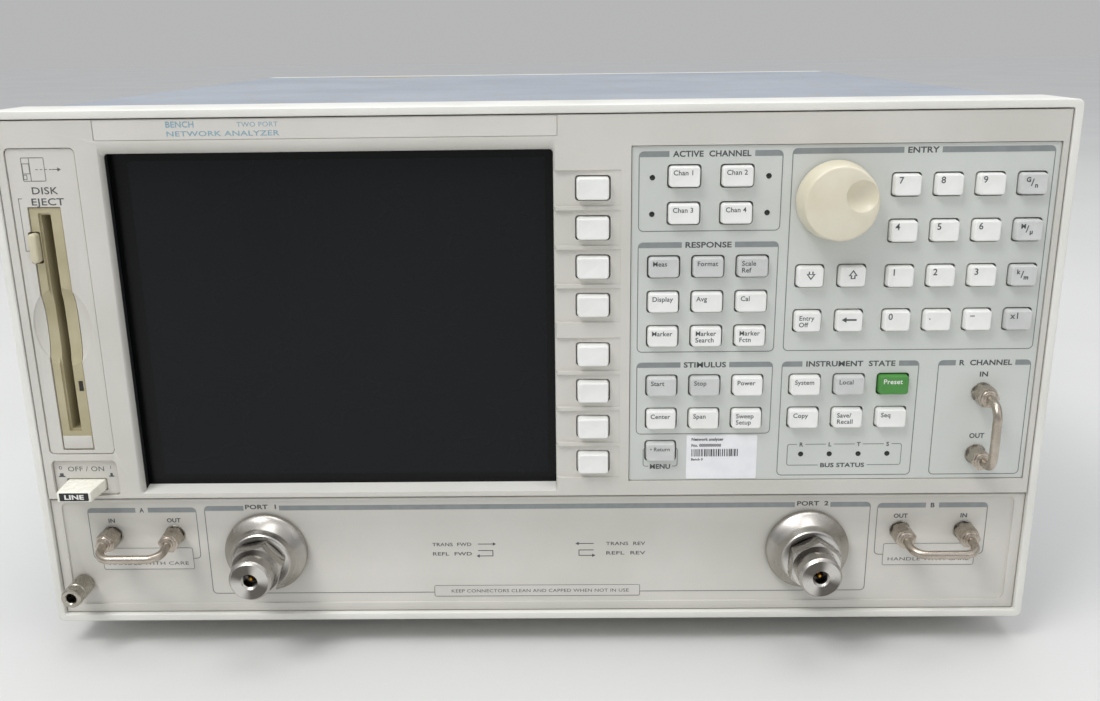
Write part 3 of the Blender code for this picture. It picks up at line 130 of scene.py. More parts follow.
def cloudy(tree, place, size, low, high, detail=3.0, start=0.35, stop=0.65):
    """Soft patches `size` mm across, as a value that runs from low to high."""
    noise = add_node(tree, "ShaderNodeTexNoise",
                     {"Vector": place, "Scale": 1 / (size * MM), "Detail": detail})
    return add_node(tree, "ShaderNodeMapRange",
                    {"Value": noise.outputs["Fac"], "From Min": start, "From Max": stop,
                     "To Min": low, "To Max": high}).outputs["Result"]


def mixed(tree, share, first, second):
    """Two colours mixed by a value; each is a hex colour or another node's output."""
    sides = [linear(side) if isinstance(side, int) else side for side in (first, second)]
    mix = add_node(tree, "ShaderNodeMix", data_type="RGBA")
    for socket, value in ((mix.inputs["Factor"], share), (mix.inputs[6], sides[0]),
                          (mix.inputs[7], sides[1])):
        if isinstance(value, bpy.types.NodeSocket):
            tree.links.new(value, socket)
        else:
            socket.default_value = value
    return mix.outputs[2]


def grain(tree, shader, place, size, height, detail=2.0):
    """A fine texture on the surface, `size` mm across and `height` mm deep."""
    noise = add_node(tree, "ShaderNodeTexNoise",
                     {"Vector": place, "Scale": 1 / (size * MM), "Detail": detail})
    bump = add_node(tree, "ShaderNodeBump", {"Height": noise.outputs["Fac"],
                                             "Distance": height * MM, "Strength": 0.6})
    tree.links.new(bump.outputs["Normal"], shader.inputs["Normal"])


def coat(name, colour, shade, patch, rough, grain_size, grain_height, **sockets):
    """Sprayed or moulded finish: two close shades in soft patches over a fine grain."""
    made, tree, shader, place = material(name, rough[0], **sockets)
    share = cloudy(tree, place, patch, 0.0, 1.0)
    tree.links.new(mixed(tree, share, colour, shade), shader.inputs["Base Color"])
    tree.links.new(cloudy(tree, place, patch * 0.37, *rough), shader.inputs["Roughness"])
    grain(tree, shader, place, grain_size, grain_height)
    return made


# cast aluminium frame in baked off-white enamel: smooth, faintly orange-peeled, soft sheen
# (the peel is 0.4 mm across on the real one and drawn at 1.2 mm so that it shows)
FRAME_ENAMEL = coat("baked_enamel_offwhite", 0xE9E8E2, 0xE2E1DA, 40, (0.36, 0.46), 1.2, 0.012)
# aluminium front panels in textured paint: warm grey, matte, hands leave it slightly uneven
PANEL_PAINT = coat("textured_paint_warm_grey", 0xD4D1CA, 0xCBC9C1, 55, (0.5, 0.6), 0.9, 0.02)
# printed polycarbonate film over the keypad: cool grey-green, very fine matte emboss
OVERLAY_FILM = coat("polycarbonate_film_matte", 0xD1D4CF, 0xCACDC8, 60, (0.44, 0.54), 0.8, 0.01)
# steel covers in blue-grey vinyl-texture paint: a leathery grain about 1 mm across
COVER_LOOK = (0x9DA4AC, 0x949BA4, 70, (0.55, 0.68), 1.3, 0.05)
COVER_PAINT = coat("vinyl_texture_paint", *COVER_LOOK)
# double-shot ABS keycaps: near white, satin from use
KEY_WHITE = coat("abs_keycap_white", 0xF3F3F0, 0xEDEDE9, 12, (0.36, 0.46), 0.7, 0.006)
KEY_GREY = coat("abs_keycap_grey", 0xD2D3D1, 0xC9CAC8, 12, (0.38, 0.48), 0.7, 0.006)
KEY_GREEN = coat("abs_keycap_green", 0x4F9444, 0x47883F, 12, (0.36, 0.46), 0.7, 0.006)
# moulded ABS knob, cream, a little yellowed with age
KNOB_CREAM = coat("abs_cream_aged", 0xE2DCC8, 0xDAD2BA, 14, (0.34, 0.42), 0.9, 0.008)
# disk drive's moulded front: sun-yellowed tan ABS, matte
DRIVE_TAN = coat("abs_tan_yellowed", 0xB9B091, 0xABA180, 18, (0.5, 0.6), 0.8, 0.012)
# eject button: the same ABS, paler where the light reached it less
EJECT_TAN = coat("abs_tan_pale", 0xD3CCB2, 0xC9C1A4, 12, (0.42, 0.5), 0.8, 0.008)
# power button in ivory ABS, glossy from use
IVORY = coat("abs_ivory_glossy", 0xF6F4EA, 0xF0EDDF, 10, (0.24, 0.32), 0.9, 0.004)
# rubbery vinyl of the strap handles: black with a dull sheen
STRAP_VINYL = coat("vinyl_black", 0x222325, 0x2B2C2E, 20, (0.5, 0.64), 1.1, 0.05)
BLACK_PLASTIC = coat("abs_black_textured", 0x1D1E20, 0x252628, 20, (0.45, 0.6), 0.9, 0.03)
# feet and guards: grey moulded plastic, scuffed
FOOT_PLASTIC = coat("moulded_plastic_grey", 0x777A7D, 0x6A6D70, 16, (0.55, 0.7), 1.0, 0.03)
# glass-fibre board behind the keys
BOARD_GREEN = coat("epoxy_glass_board", 0x2F6B45, 0x285F3C, 9, (0.4, 0.55), 0.8, 0.02)
# self-adhesive paper tag: bright white, faint fibres
PAPER = coat("coated_paper_white", 0xF4F4F6, 0xECEDF0, 8, (0.5, 0.6), 0.7, 0.006)
# film of the name strip: a shade warmer and smoother than the panel
STRIP_FILM = coat("polyester_label_film", 0xD9D6D0, 0xD2CFC8, 50, (0.38, 0.46), 0.9, 0.004)
# screen inks: matte, a little uneven in cover
INK_DARK = coat("screen_ink_charcoal", 0x55595A, 0x4A4E50, 3, (0.5, 0.6), 0.6, 0.004)
INK_GREY = coat("screen_ink_mid_grey", 0x8D9292, 0x858A8B, 4, (0.5, 0.6), 0.6, 0.004)
INK_LINE = coat("screen_ink_line_grey", 0x7D8280, 0x747978, 4, (0.5, 0.6), 0.6, 0.004)
INK_BLUE = coat("screen_ink_pale_blue", 0x8FB0BC, 0x7FA3B1, 4, (0.5, 0.6), 0.6, 0.004)
INK_BLACK = coat("label_ink_black", 0x202123, 0x292A2C, 3, (0.45, 0.55), 0.6, 0.004)
INK_WHITE = coat("pad_print_white", 0xEFEFEA, 0xE4E4DE, 3, (0.45, 0.55), 0.6, 0.004)
LED_LENS = coat("epoxy_lens_unlit", 0x20221F, 0x171916, 2, (0.2, 0.3), 0.6, 0.002)
# painted shade: near black, put deep in the port bores and behind the side vents for the shade
# inside
PAINTED_SHADE_BLACK = coat("shadowed_inside", 0x0B0B0B, 0x121212, 10, (0.8, 0.9), 0.9, 0.01)


def residue_on_paint():
    """The cover paint of the top, with the yellowed glue of an old tape near its rear left."""
    made = coat("vinyl_texture_paint_with_glue", *COVER_LOOK)
    tree = made.node_tree
    shader = tree.nodes["Principled BSDF"]
    place = add_node(tree, "ShaderNodeTexCoord").outputs["Object"]
    paint = shader.inputs["Base Color"].links[0].from_socket
    half_wide, half_deep = 0.05, 0.014
    at = add_node(tree, "ShaderNodeMapping",
                  {"Vector": place, "Location": (0.110 / half_wide, -0.178 / half_deep,
                                                 -0.232 / half_wide),
                   "Scale": (1 / half_wide, 1 / half_deep, 1 / half_wide)}).outputs["Vector"]
    ball = add_node(tree, "ShaderNodeTexGradient", {"Vector": at}, gradient_type="SPHERICAL")
    ragged = add_node(tree, "ShaderNodeMath",
                      {0: ball.outputs["Fac"], 1: cloudy(tree, place, 9, -0.25, 0.45)},
                      operation="ADD")
    share = add_node(tree, "ShaderNodeMapRange",
                     {"Value": ragged.outputs["Value"], "From Min": 0.35, "From Max": 0.6,
                      "To Min": 0.0, "To Max": 0.75})
    tree.links.new(mixed(tree, share.outputs["Result"], paint, 0xA58F5E),
                   shader.inputs["Base Color"])
    return made


TOP_PAINT = residue_on_paint()
# coated display window: near black, cool, anti-glare, so it mirrors only softly
GLASS = coat("antiglare_glass_dark", 0x050607, 0x060708, 60, (0.22, 0.26), 3.0, 0.001,
             Specular_IOR_Level=0.2)
GLASS_ACTIVE = coat("liquid_crystal_unlit", 0x101315, 0x0E1013, 90, (0.24, 0.3), 3.0, 0.001,
                    Specular_IOR_Level=0.2)


def metal(name, colour, shade, patch, rough, grain_size, grain_height):
    """Bare metal in two close shades."""
    return coat(name, colour, shade, patch, rough, grain_size, grain_height, Metallic=1.0)


# zinc-plated steel sheet: dull silver with faint spangle
ZINC = metal("zinc_plated_steel", 0xB9BBB6, 0xA9ACA8, 7, (0.34, 0.46), 1.0, 0.01)
# silver-plated semi-rigid tube, tarnished warm grey by handling
TARNISHED = metal("tarnished_silver_plate", 0xC2B8AC, 0xB0A699, 5, (0.26, 0.36), 0.8, 0.002)
NICKEL = metal("nickel_plated_brass", 0xB7B2A8, 0xA7A196, 5, (0.24, 0.34), 0.8, 0.005)
GOLD = metal("gold_plated_contact", 0xC9973F, 0xB98432, 2, (0.24, 0.3), 0.6, 0.002)
WIRE_STEEL = metal("bright_steel_wire", 0xB4B3B0, 0xA4A3A0, 6, (0.25, 0.35), 0.8, 0.004)


def turned_steel(name, x, z):
    """Stainless steel straight off the lathe: fine rings round the axis, streaked glints, and a
    painted highlight in two wedges on the flat front face.

    The cutter leaves rings 0.08 mm apart, drawn 0.5 mm apart so that they show.
    """
    made, tree, shader, place = material(name, 0.28, Metallic=1.0, Anisotropic=0.85)
    axis = add_node(tree, "ShaderNodeMapping",
                    {"Vector": place, "Location": -spot(x, 0, z)}).outputs["Vector"]
    rings = add_node(tree, "ShaderNodeTexWave",
                     {"Vector": axis, "Scale": TURN / (20 * 0.5 * MM), "Distortion": 0.6,
                      "Detail": 2.0, "Detail Scale": 3.0},
                     wave_type="RINGS", rings_direction="Y")
    # painted highlight and shade: the flat front face's colour is bright in two wedges and dark
    # between them, where facing cuts gather the light
    apart = add_node(tree, "ShaderNodeSeparateXYZ", {"Vector": axis})
    turn = add_node(tree, "ShaderNodeMath", {0: apart.outputs["Z"], 1: apart.outputs["X"]},
                    operation="ARCTAN2").outputs["Value"]
    twice = add_node(tree, "ShaderNodeMath", {0: turn, 1: 2.0, 2: -1.2},
                     operation="MULTIPLY_ADD").outputs["Value"]
    wave = add_node(tree, "ShaderNodeMath", {0: twice}, operation="COSINE").outputs["Value"]
    glint_share = add_node(tree, "ShaderNodeMapRange",
                     {"Value": wave, "From Min": -0.6, "From Max": 0.9, "To Min": 0.0,
                      "To Max": 1.0}, interpolation_type="SMOOTHSTEP").outputs["Result"]
    facing = add_node(tree, "ShaderNodeSeparateXYZ",
                      {"Vector": add_node(tree, "ShaderNodeNewGeometry").outputs["Normal"]})
    flat_face = add_node(tree, "ShaderNodeMapRange",
                         {"Value": facing.outputs["Y"], "From Min": -0.9, "From Max": -0.98,
                          "To Min": 0.0, "To Max": 1.0}).outputs["Result"]
    share = cloudy(tree, place, 6, 0.0, 1.0)
    turned_side = mixed(tree, share, 0xBBB7B1, 0xB3AFA9)
    painted_glint_colour = mixed(tree, glint_share, 0x66625E, 0xD2CFCA)
    tree.links.new(mixed(tree, flat_face, turned_side, painted_glint_colour), shader.inputs["Base Color"])
    tree.links.new(cloudy(tree, place, 9, 0.24, 0.28), shader.inputs["Roughness"])
    bump = add_node(tree, "ShaderNodeBump", {"Height": rings.outputs["Fac"],
                                             "Distance": 0.006 * MM, "Strength": 0.15})
    tree.links.new(bump.outputs["Normal"], shader.inputs["Normal"])
    around = add_node(tree, "ShaderNodeTangent", direction_type="RADIAL", axis="Y")
    tree.links.new(around.outputs["Tangent"], shader.inputs["Tangent"])
    return made


# ---- modelling steps ----------------------------------------------------------------------------
def about(centre, half):
    """The span this far to both sides of a centre."""
    return centre - half, centre + half


def choose(*objs):
    """Selects only these objects; the first is the active one."""
    bpy.ops.object.select_all(action="DESELECT")
    for obj in objs:
        obj.select_set(True)
    if objs:
        bpy.context.view_layer.objects.active = objs[0]


def edit(obj):
    choose(obj)
    bpy.ops.object.mode_set(mode="EDIT")


def done():
    bpy.ops.object.mode_set(mode="OBJECT")
    return bpy.context.object


def primitive(add, name, **settings):
    """A new object by one of Blender's own operators, as the only one selected."""
    choose()
    add(**settings)
    made = bpy.context.object
    made.name = name
    return made


def shift(x=0.0, y=0.0, z=0.0):
    """Moves what is selected by this many mm."""
    bpy.ops.transform.translate(value=Vector((x, y, z)) * MM)


def face_out():
    """In edit mode, selects everything and turns every face outwards."""
    bpy.ops.mesh.select_all(action="SELECT")
    bpy.ops.mesh.normals_make_consistent(inside=False)


def pick(kind, rule):
    """In edit mode, selects only the verts, edges or faces that the rule holds for."""
    bpy.ops.mesh.select_mode(type={"verts": "VERT", "edges": "EDGE", "faces": "FACE"}[kind])
    bpy.ops.mesh.select_all(action="DESELECT")
    mesh = bpy.context.edit_object.data
    shape = bmesh.from_edit_mesh(mesh)
    for part in getattr(shape, kind):
        if rule(part):
            part.select_set(True)
    bmesh.update_edit_mesh(mesh)


def along_y(edge):
    a, b = (vert.co for vert in edge.verts)
    return abs(a.y - b.y) > 0.9 * (a - b).length


def at_front(part):
    """True for a vertex, edge or face that lies in the piece's frontmost plane."""
    mesh = bpy.context.edit_object.data
    front = min(vert.co.y for vert in bmesh.from_edit_mesh(mesh).verts)
    return all(vert.co.y < front + 0.01 * MM for vert in getattr(part, "verts", [part]))


def slab(name, x, y, z, corner=0.0, steps=5, edge=0.0, edge_steps=3, taper=(1, 1)):
    """A block between two x, y and z in mm, its corners along y and its front edges rounded."""
    low, high = spot(x[0], y[0], z[0]), spot(x[1], y[1], z[1])
    made = primitive(bpy.ops.mesh.primitive_cube_add, name, size=1, location=(low + high) / 2,
                     scale=high - low)
    edit(made)
    if corner:
        pick("edges", along_y)
        bpy.ops.mesh.bevel(offset=corner * MM, segments=steps)
    if taper != (1, 1):
        pick("faces", at_front)
        bpy.ops.transform.resize(value=(taper[0], 1, taper[1]), center_override=(low + high) / 2)
    if edge:
        pick("edges", at_front)
        bpy.ops.mesh.bevel(offset=edge * MM, segments=edge_steps)
    return done()


def turned(name, profile, x, z, sides=48):
    """A turned piece on an axis along y; the profile is (radius, y), from one end to the other."""
    radius, y = profile[0]
    smallest = 0.001
    made = primitive(bpy.ops.mesh.primitive_circle_add, name, vertices=sides, radius=radius * MM,
                     fill_type="NGON", location=spot(x, y, z), rotation=FACING)
    bpy.ops.object.transform_apply(location=False, rotation=True, scale=False)
    edit(made)
    bpy.ops.mesh.select_mode(type="FACE")
    bpy.ops.mesh.select_all(action="SELECT")
    for next_radius, next_y in profile[1:]:
        bpy.ops.mesh.extrude_region_move(
            TRANSFORM_OT_translate={"value": (0, (next_y - y) * MM, 0)})
        share = max(next_radius, smallest) / radius
        bpy.ops.transform.resize(value=(share, 1, share), center_override=spot(x, next_y, z))
        radius, y = max(next_radius, smallest), next_y
    bpy.ops.mesh.select_all(action="SELECT")
    bpy.ops.mesh.remove_doubles(threshold=0.8 * smallest * MM)
    face_out()
    return done()


def bore_shade(radius, front, back, x, z, sides=32):
    """A round cutter on an axis along y."""
    return turned("bore_shade", [(radius, front), (radius, back)], x, z, sides)


def apply_modifier(obj, kind, **settings):
    choose(obj)
    made = obj.modifiers.new(kind.lower(), kind)
    for name, value in settings.items():
        setattr(made, name, value)
    bpy.ops.object.modifier_apply(modifier=made.name)
    return obj


def soften(obj, width, steps=2, angle=40):
    return apply_modifier(obj, "BEVEL", width=width * MM, segments=steps, limit_method="ANGLE",
                          angle_limit=math.radians(angle), use_clamp_overlap=True)


def carve(obj, *cutters):
    """Cuts these away, and removes them."""
    for cutter in cutters:
        apply_modifier(obj, "BOOLEAN", operation="DIFFERENCE", solver="EXACT", object=cutter)
        bpy.data.objects.remove(cutter)
    return obj


def keep_inside(obj, other):
    apply_modifier(obj, "BOOLEAN", operation="INTERSECT", solver="EXACT", object=other)
    bpy.data.objects.remove(other)
    return obj


def weld(obj, *others):
    for other in others:
        apply_modifier(obj, "BOOLEAN", operation="UNION", solver="EXACT", object=other)
        bpy.data.objects.remove(other)
    return obj


def coated(obj, *finishes):
    obj.data.materials.clear()
    for finish in finishes:
        obj.data.materials.append(finish)
    return obj


def moved_copy(obj, x=0.0, y=0.0, z=0.0):
    """A copy with its own mesh, this many mm away."""
    choose(obj)
    bpy.ops.object.duplicate()
    shift(x, y, z)
    return bpy.context.object


def copies(name, first, places):
    """A piece and its copies, joined: the piece stands at the first of these places in x and z."""
    x, z = places[0]
    return together(name, [first] + [moved_copy(first, to_x - x, 0, to_z - z)
                                     for to_x, to_z in places[1:]])


def together(name, pieces):
    pieces = list(pieces)
    choose(*pieces)
    if len(pieces) > 1:
        bpy.ops.object.join()
    made = bpy.context.object
    made.name = name
    return made


def settle(obj, body="cabinet", finish=None, stands_for=(), angle=30):
    """A finished piece: its place goes into its mesh, and it rides on its body."""
    choose(obj)
    bpy.ops.object.transform_apply(location=True, rotation=True, scale=True)
    bpy.ops.object.shade_smooth_by_angle(angle=math.radians(angle))
    if finish:
        coated(obj, finish)
    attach(obj, body)
    if stands_for:
        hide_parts(*stands_for)
    return obj


# ---- printing -----------------------------------------------------------------------------------
def lettering(words, x, y, z, capital, ink, width=None, align="CENTER", weight=0.03):
    """Printed words on a surface at y. `capital` is a capital's height; z is the baseline's."""
    made = primitive(bpy.ops.object.text_add, words, location=spot(x, y - PRINT, z),
                     rotation=FACING)
    size = capital / 0.682          # the built-in font's capitals are 0.682 of its size
    made.data.body = words
    made.data.size = size * MM
    made.data.align_x = align
    made.data.offset = weight * size * MM
    made.data.space_character = 1.04
    made.data.resolution_u = 3
    bpy.ops.object.convert(target="MESH")
    if width and made.dimensions.x:
        made.scale.x = width * MM / made.dimensions.x
    return coated(made, ink)


def flat(name, x, y, z, ink, corner=0.0, which=None, steps=4):
    """A flat printed area between two x and z; `which` picks the corners to round."""
    low, high = spot(x[0], y - PRINT, z[0]), spot(x[1], y - PRINT, z[1])
    size = high - low
    made = primitive(bpy.ops.mesh.primitive_plane_add, name, size=1, location=(low + high) / 2,
                     rotation=FACING)
    made.scale = (size.x, size.z, 1)
    bpy.ops.object.transform_apply(location=False, rotation=True, scale=True)
    if corner:
        edit(made)
        pick("verts", which or (lambda vert: True))
        bpy.ops.mesh.bevel(offset=corner * MM, segments=steps, affect="VERTICES")
        done()
    return coated(made, ink)


def outline(name, x, y, z, ink, line=0.35, corner=2.0, gaps=()):
    """A thin rounded frame; each gap is (side's z, from x, to x) left out of it."""
    made = flat(name, x, y, z, ink, corner)
    edit(made)
    bpy.ops.mesh.select_mode(type="FACE")
    bpy.ops.mesh.select_all(action="SELECT")
    bpy.ops.mesh.inset(thickness=line * MM)
    bpy.ops.mesh.delete(type="FACE")
    centre = made.location
    for side, first, last in gaps:
        def on_side(face):
            place = face.calc_center_median() + centre - ORIGIN
            return abs(place.z / MM - side) < line
        for cut_x in (first, last):
            pick("faces", on_side)
            bpy.ops.mesh.bisect(plane_co=spot(cut_x, 0, 0), plane_no=(1, 0, 0))
        pick("faces", lambda face: on_side(face) and first < (face.calc_center_median()
             + centre - ORIGIN).x / MM < last)
        bpy.ops.mesh.delete(type="FACE")
    return done()


BAR = 2.25                          # height of the thick bars at the top of a printed block
BLOCK_CORNER = 2.0
IN_LINE = 0.17                      # from a block's top edge to the middle of its thin line


def thick_bar(first, last, y, top, side):
    """A bar whose upper corner is rounded on one side: -1 left, 1 right, 0 neither."""
    return flat("bar", (first, last), y - 0.01, (top - BAR, top), INK_GREY,
                BLOCK_CORNER if side else 0.0,
                lambda vert: vert.co.x * side > 0 and vert.co.z > 0)


def titled_block(title, x, y, z, gap, title_width, capital=2.15):
    """A printed block: a thin frame, two thick bars at its top and its title in their gap."""
    top = z[1]
    return [outline("block_frame", x, y, z, INK_LINE, corner=BLOCK_CORNER,
                    gaps=[(top - IN_LINE, *gap)]),
            thick_bar(x[0], gap[0], y, top, -1), thick_bar(gap[1], x[1], y, top, 1),
            lettering(title, (gap[0] + gap[1]) / 2, y, top - BAR / 2 - capital / 2, capital,
                      INK_DARK, width=title_width)]


# ---- cabinet front ------------------------------------------------------------------------------
def front_frame():
    casting = slab("front_frame_casting", (-HALF, HALF), (0, FRAME_DEEP), (0, TALL),
                   corner=2.5, steps=6)
    inner = HALF - RIM
    rim = slab("rim_opening", (-inner, inner), (-9, RIM_DEEP), (RIM, TALL - RIM), corner=1.0)
    wall = HALF - FRAME_WALL
    through = slab("through_opening", (-wall, wall), (1, 60), (FRAME_WALL, TALL - FRAME_WALL))
    carve(casting, rim, through)
    soften(casting, 0.7, 3)
    settle(casting, finish=FRAME_ENAMEL, stands_for=["front_frame"])


def display_cutter():
    """The display's opening: straight walls, a broad roll at the top, a sill that slopes down."""
    cutter = slab("display_opening", GLASS_X, (UPPER_HIGH.y - 0.2, 30), GLASS_Z, corner=1.5)
    edit(cutter)
    pick("faces", at_front)
    flare = 4.3                     # the roll's height; it is as deep as the panel is thick
    side_flare = 0.6                # widening of each opening side, as a share of the height
    steps = 6
    depth = UPPER_HIGH.y - 0.2 - UPPER_Y
    wide = GLASS_X[1] - GLASS_X[0]
    for step in range(steps):
        turn = [math.pi / 2 * (step + more) / steps for more in (0, 1)]
        out = flare * (math.cos(turn[0]) - math.cos(turn[1]))
        forward = depth * (math.sin(turn[1]) - math.sin(turn[0]))
        bpy.ops.mesh.extrude_region_move(
            TRANSFORM_OT_translate={"value": (0, -forward * MM, 0)})
        share = 1 + side_flare * out / wide
        bpy.ops.transform.resize(value=(share, 1, 1), center_override=cutter.location)
        pick("verts", lambda vert: at_front(vert) and vert.co.z > 0)
        shift(z=out)
        pick("faces", at_front)
    bpy.ops.mesh.extrude_region_move(TRANSFORM_OT_translate={"value": (0, -9 * MM, 0)})
    return done()


def key_openings(name, places, size, front, back):
    """Rounded holes for keys, as one cutter: one is modelled and the rest are its copies."""
    half = (size[0] / 2 + KEY_GAP, size[1] / 2 + KEY_GAP)
    x, z = places[0]
    return copies(name, slab(name, about(x, half[0]), (front, back),
                             about(z, half[1]), corner=1.5, steps=4), places)


SOFT_PLACES = [(middle(f"softkey_{index}").x, middle(f"softkey_{index}").z)
               for index in range(1, 9)]
DISK = span("disk_drive")
DISK_X = (DISK[0].x + DISK[1].x) / 2
SCOOP_X = DISK_X + 0.7
SCOOP_Z = (DISK[0].z + DISK[1].z) / 2 + 2.2
LINE = middle("line_button")
EJECT = middle("eject_button")
POCKET_X = (-HALF + 7.0, -HALF + 35.0)
DISK_POCKET_Z = (79.0, 207.4)
LINE_POCKET_Z = (60.0, 76.3)


def scoop():
    """The oval hollow beside the disk slot, as a cutter: a steep rim and a shallow dish."""
    dish = turned("scoop", [(12.5, -9), (12.5, 0.2), (12.3, 0.6), (11.5, 1.9), (10.4, 2.6),
                            (8.9, 3.2), (7.0, 3.6), (0, 3.7)], SCOOP_X, SCOOP_Z, 64)
    edit(dish)
    bpy.ops.mesh.select_all(action="SELECT")
    bpy.ops.transform.resize(value=(1, 1, 1.42), center_override=dish.location)
    return done()


def seam(x, z, floor):
    """A rounded groove 0.45 mm wide, as a cutter: the parting line round a plate."""
    ring = slab("seam", x, (-9, floor), z, corner=2.2)
    return carve(ring, slab("seam_core", (x[0] + 0.45, x[1] - 0.45), (-12, floor + 3),
                            (z[0] + 0.45, z[1] - 0.45), corner=1.75))


def trough_cutters():
    """A shallow ramp beside each softkey, deepest at the display."""
    left, right, tall = GLASS_X[1] - 0.1, 36.0, 14.3
    deep, shallow = 1.5, 0.25
    made = []
    for _, z in SOFT_PLACES:
        ramp = slab("trough", (left, right), (-8, UPPER_Y), about(z, tall / 2))
        edit(ramp)
        pick("verts", lambda vert: vert.co.y > 0 and vert.co.x < 0)
        shift(y=deep)
        pick("verts", lambda vert: vert.co.y > 0 and vert.co.x > 0)
        shift(y=shallow)
        made.append(done())
    return together("troughs", made)


def upper_panel():
    panel = slab("upper_panel_plate", (UPPER_LOW.x, UPPER_HIGH.x), (UPPER_Y, UPPER_HIGH.y),
                 (UPPER_LOW.z, UPPER_HIGH.z), edge=0.35, edge_steps=2)
    front, back = UPPER_Y - 9, UPPER_HIGH.y + 9
    carve(panel, display_cutter())
    label = slab("strip_seat", (-169.5, 11.3), (front, UPPER_Y + 0.5), (209.7, TALL), corner=0.8)
    keypad = slab("keypad_seat", (OVERLAY_LOW.x - 0.3, OVERLAY_HIGH.x + 0.3),
                  (front, OVERLAY_HIGH.y + 0.3), (OVERLAY_LOW.z - 0.3, OVERLAY_HIGH.z + 0.3))
    window = slab("keypad_window", (OVERLAY_LOW.x + 3, OVERLAY_HIGH.x - 3), (front, back),
                  (OVERLAY_LOW.z + 3, OVERLAY_HIGH.z - 3))
    disk = slab("disk_seat", POCKET_X, (front, UPPER_Y + 0.6), DISK_POCKET_Z, corner=2.2)
    line = slab("line_seat", POCKET_X, (front, UPPER_Y + 1.5), LINE_POCKET_Z, corner=2.2)
    drive = slab("drive_window", (DISK[0].x - 0.3, DISK[1].x + 0.3), (front, back),
                 (DISK[0].z - 0.3, DISK[1].z + 0.3), corner=0.4)
    eject = slab("eject_notch", about(EJECT.x, 2.35), (front, back),
                 about(EJECT.z, 6.5), corner=0.8)
    button = slab("line_window", about(LINE.x, 8.65), (front, back),
                  about(LINE.z, 2.8), corner=0.6)
    seams = [seam(POCKET_X, DISK_POCKET_Z, UPPER_Y + 1.4),
             seam(POCKET_X, LINE_POCKET_Z, UPPER_Y + 2.2)]
    carve(panel, label, keypad, window, disk, line, *seams, drive, eject, button, scoop(),
          trough_cutters(), key_openings("softkey_holes", SOFT_PLACES, SOFT_KEY, front, back))
    soften(panel, 0.22, 2, 50)
    settle(panel, finish=PANEL_PAINT, stands_for=["upper_front_panel"],
           angle=18)


# ---- keys ---------------------------------------------------------------------------------------
def grid_of(node, size, columns, rows):
    """Key centres of a moulded pad, row by row from the upper left, from the pad's own box."""
    low, high = span(node)
    left, top = low.x + size[0] / 2 + WEB_MARGIN, high.z - size[1] / 2 - WEB_MARGIN
    right, bottom = high.x - size[0] / 2 - WEB_MARGIN, low.z + size[1] / 2 + WEB_MARGIN
    step_x = (right - left) / max(1, columns - 1)
    step_z = (top - bottom) / max(1, rows - 1)
    return [(left + step_x * column, top - step_z * row)
            for row in range(rows) for column in range(columns)]


CHANNEL = grid_of("channel_keys", MAIN_KEY, 2, 2)
RESPONSE = grid_of("response_keys", MAIN_KEY, 3, 3)
STIMULUS = grid_of("stimulus_keys", MAIN_KEY, 3, 2)
RETURN = grid_of("return_key", MAIN_KEY, 1, 1)
PRESET = grid_of("preset_key", MAIN_KEY, 1, 1)
STATE_ALL = grid_of("state_keys", MAIN_KEY, 3, 2)
STATE = [place for index, place in enumerate(STATE_ALL) if index != 2]
ENTRY = grid_of("entry_keys", ENTRY_KEY, 4, 4)
EDIT = grid_of("edit_keys", ENTRY_KEY, 2, 2)
R_JACKS = [(middle("link_r").x, span("link_r")[0].z + 4.5),
           (middle("link_r").x, span("link_r")[1].z - 4.5)]
KNOB = middle("knob")
JACK_HOLE = 4.4                     # radius


def keycap(size, face, x, z):
    """One cap: rounded corners, sides that narrow to the top, a soft edge and a shallow dish."""
    half = (size[0] / 2, size[1] / 2)
    cap = slab("cap", about(x, half[0]), (face - KEY_PROUD, WEB_Y + WEB_THICK / 2),
               about(z, half[1]), corner=1.3, steps=4, edge=0.5, edge_steps=3,
               taper=((size[0] - 1.0) / size[0], (size[1] - 1.0) / size[1]))
    edit(cap)
    pick("faces", at_front)
    bpy.ops.mesh.inset(thickness=0.35 * MM)
    shift(y=DISH)
    return done()


def key_pad(node, places, size, colours, webs, face=OVERLAY_Y):
    """Caps moulded on one web. `colours` has a material for each place."""
    x, z = places[0]
    first = keycap(size, face, x, z)
    caps = [first] + [moved_copy(first, to_x - x, 0, to_z - z) for to_x, to_z in places[1:]]
    for cap, colour in zip(caps, colours):
        coated(cap, colour)
    plates = []
    for group in webs:
        xs, zs = [place[0] for place in group], [place[1] for place in group]
        grow = (size[0] / 2 + WEB_MARGIN, size[1] / 2 + WEB_MARGIN)
        plates.append(coated(slab("web", (min(xs) - grow[0], max(xs) + grow[0]),
                                  (WEB_Y, WEB_Y + WEB_THICK),
                                  (min(zs) - grow[1], max(zs) + grow[1]), corner=1.0),
                             colours[0]))
    pad = together(node + "_caps", caps + plates)
    settle(pad, node, stands_for=[node])


KEY_FACE = OVERLAY_Y - KEY_PROUD + DISH
MARGIN = 1.75                       # from a cap's left side to its legend
FIRST_LINE = 0.75                   # the first line's baseline over the middle of its cap
LINE_STEP = 2.75


def key_words(legends, places, size, capital=1.85, ink=INK_DARK):
    """Legends in the upper left of each cap: one or two lines, printed on its face."""
    return [lettering(line, x - size[0] / 2 + MARGIN, KEY_FACE,
                      z + FIRST_LINE - LINE_STEP * index, capital, ink, align="LEFT",
                      weight=0.014)
            for words, (x, z) in zip(legends, places)
            for index, line in enumerate(words.split("\n")) if line]


def printed(node, pieces):
    settle(together(node + "_legends", pieces), node)


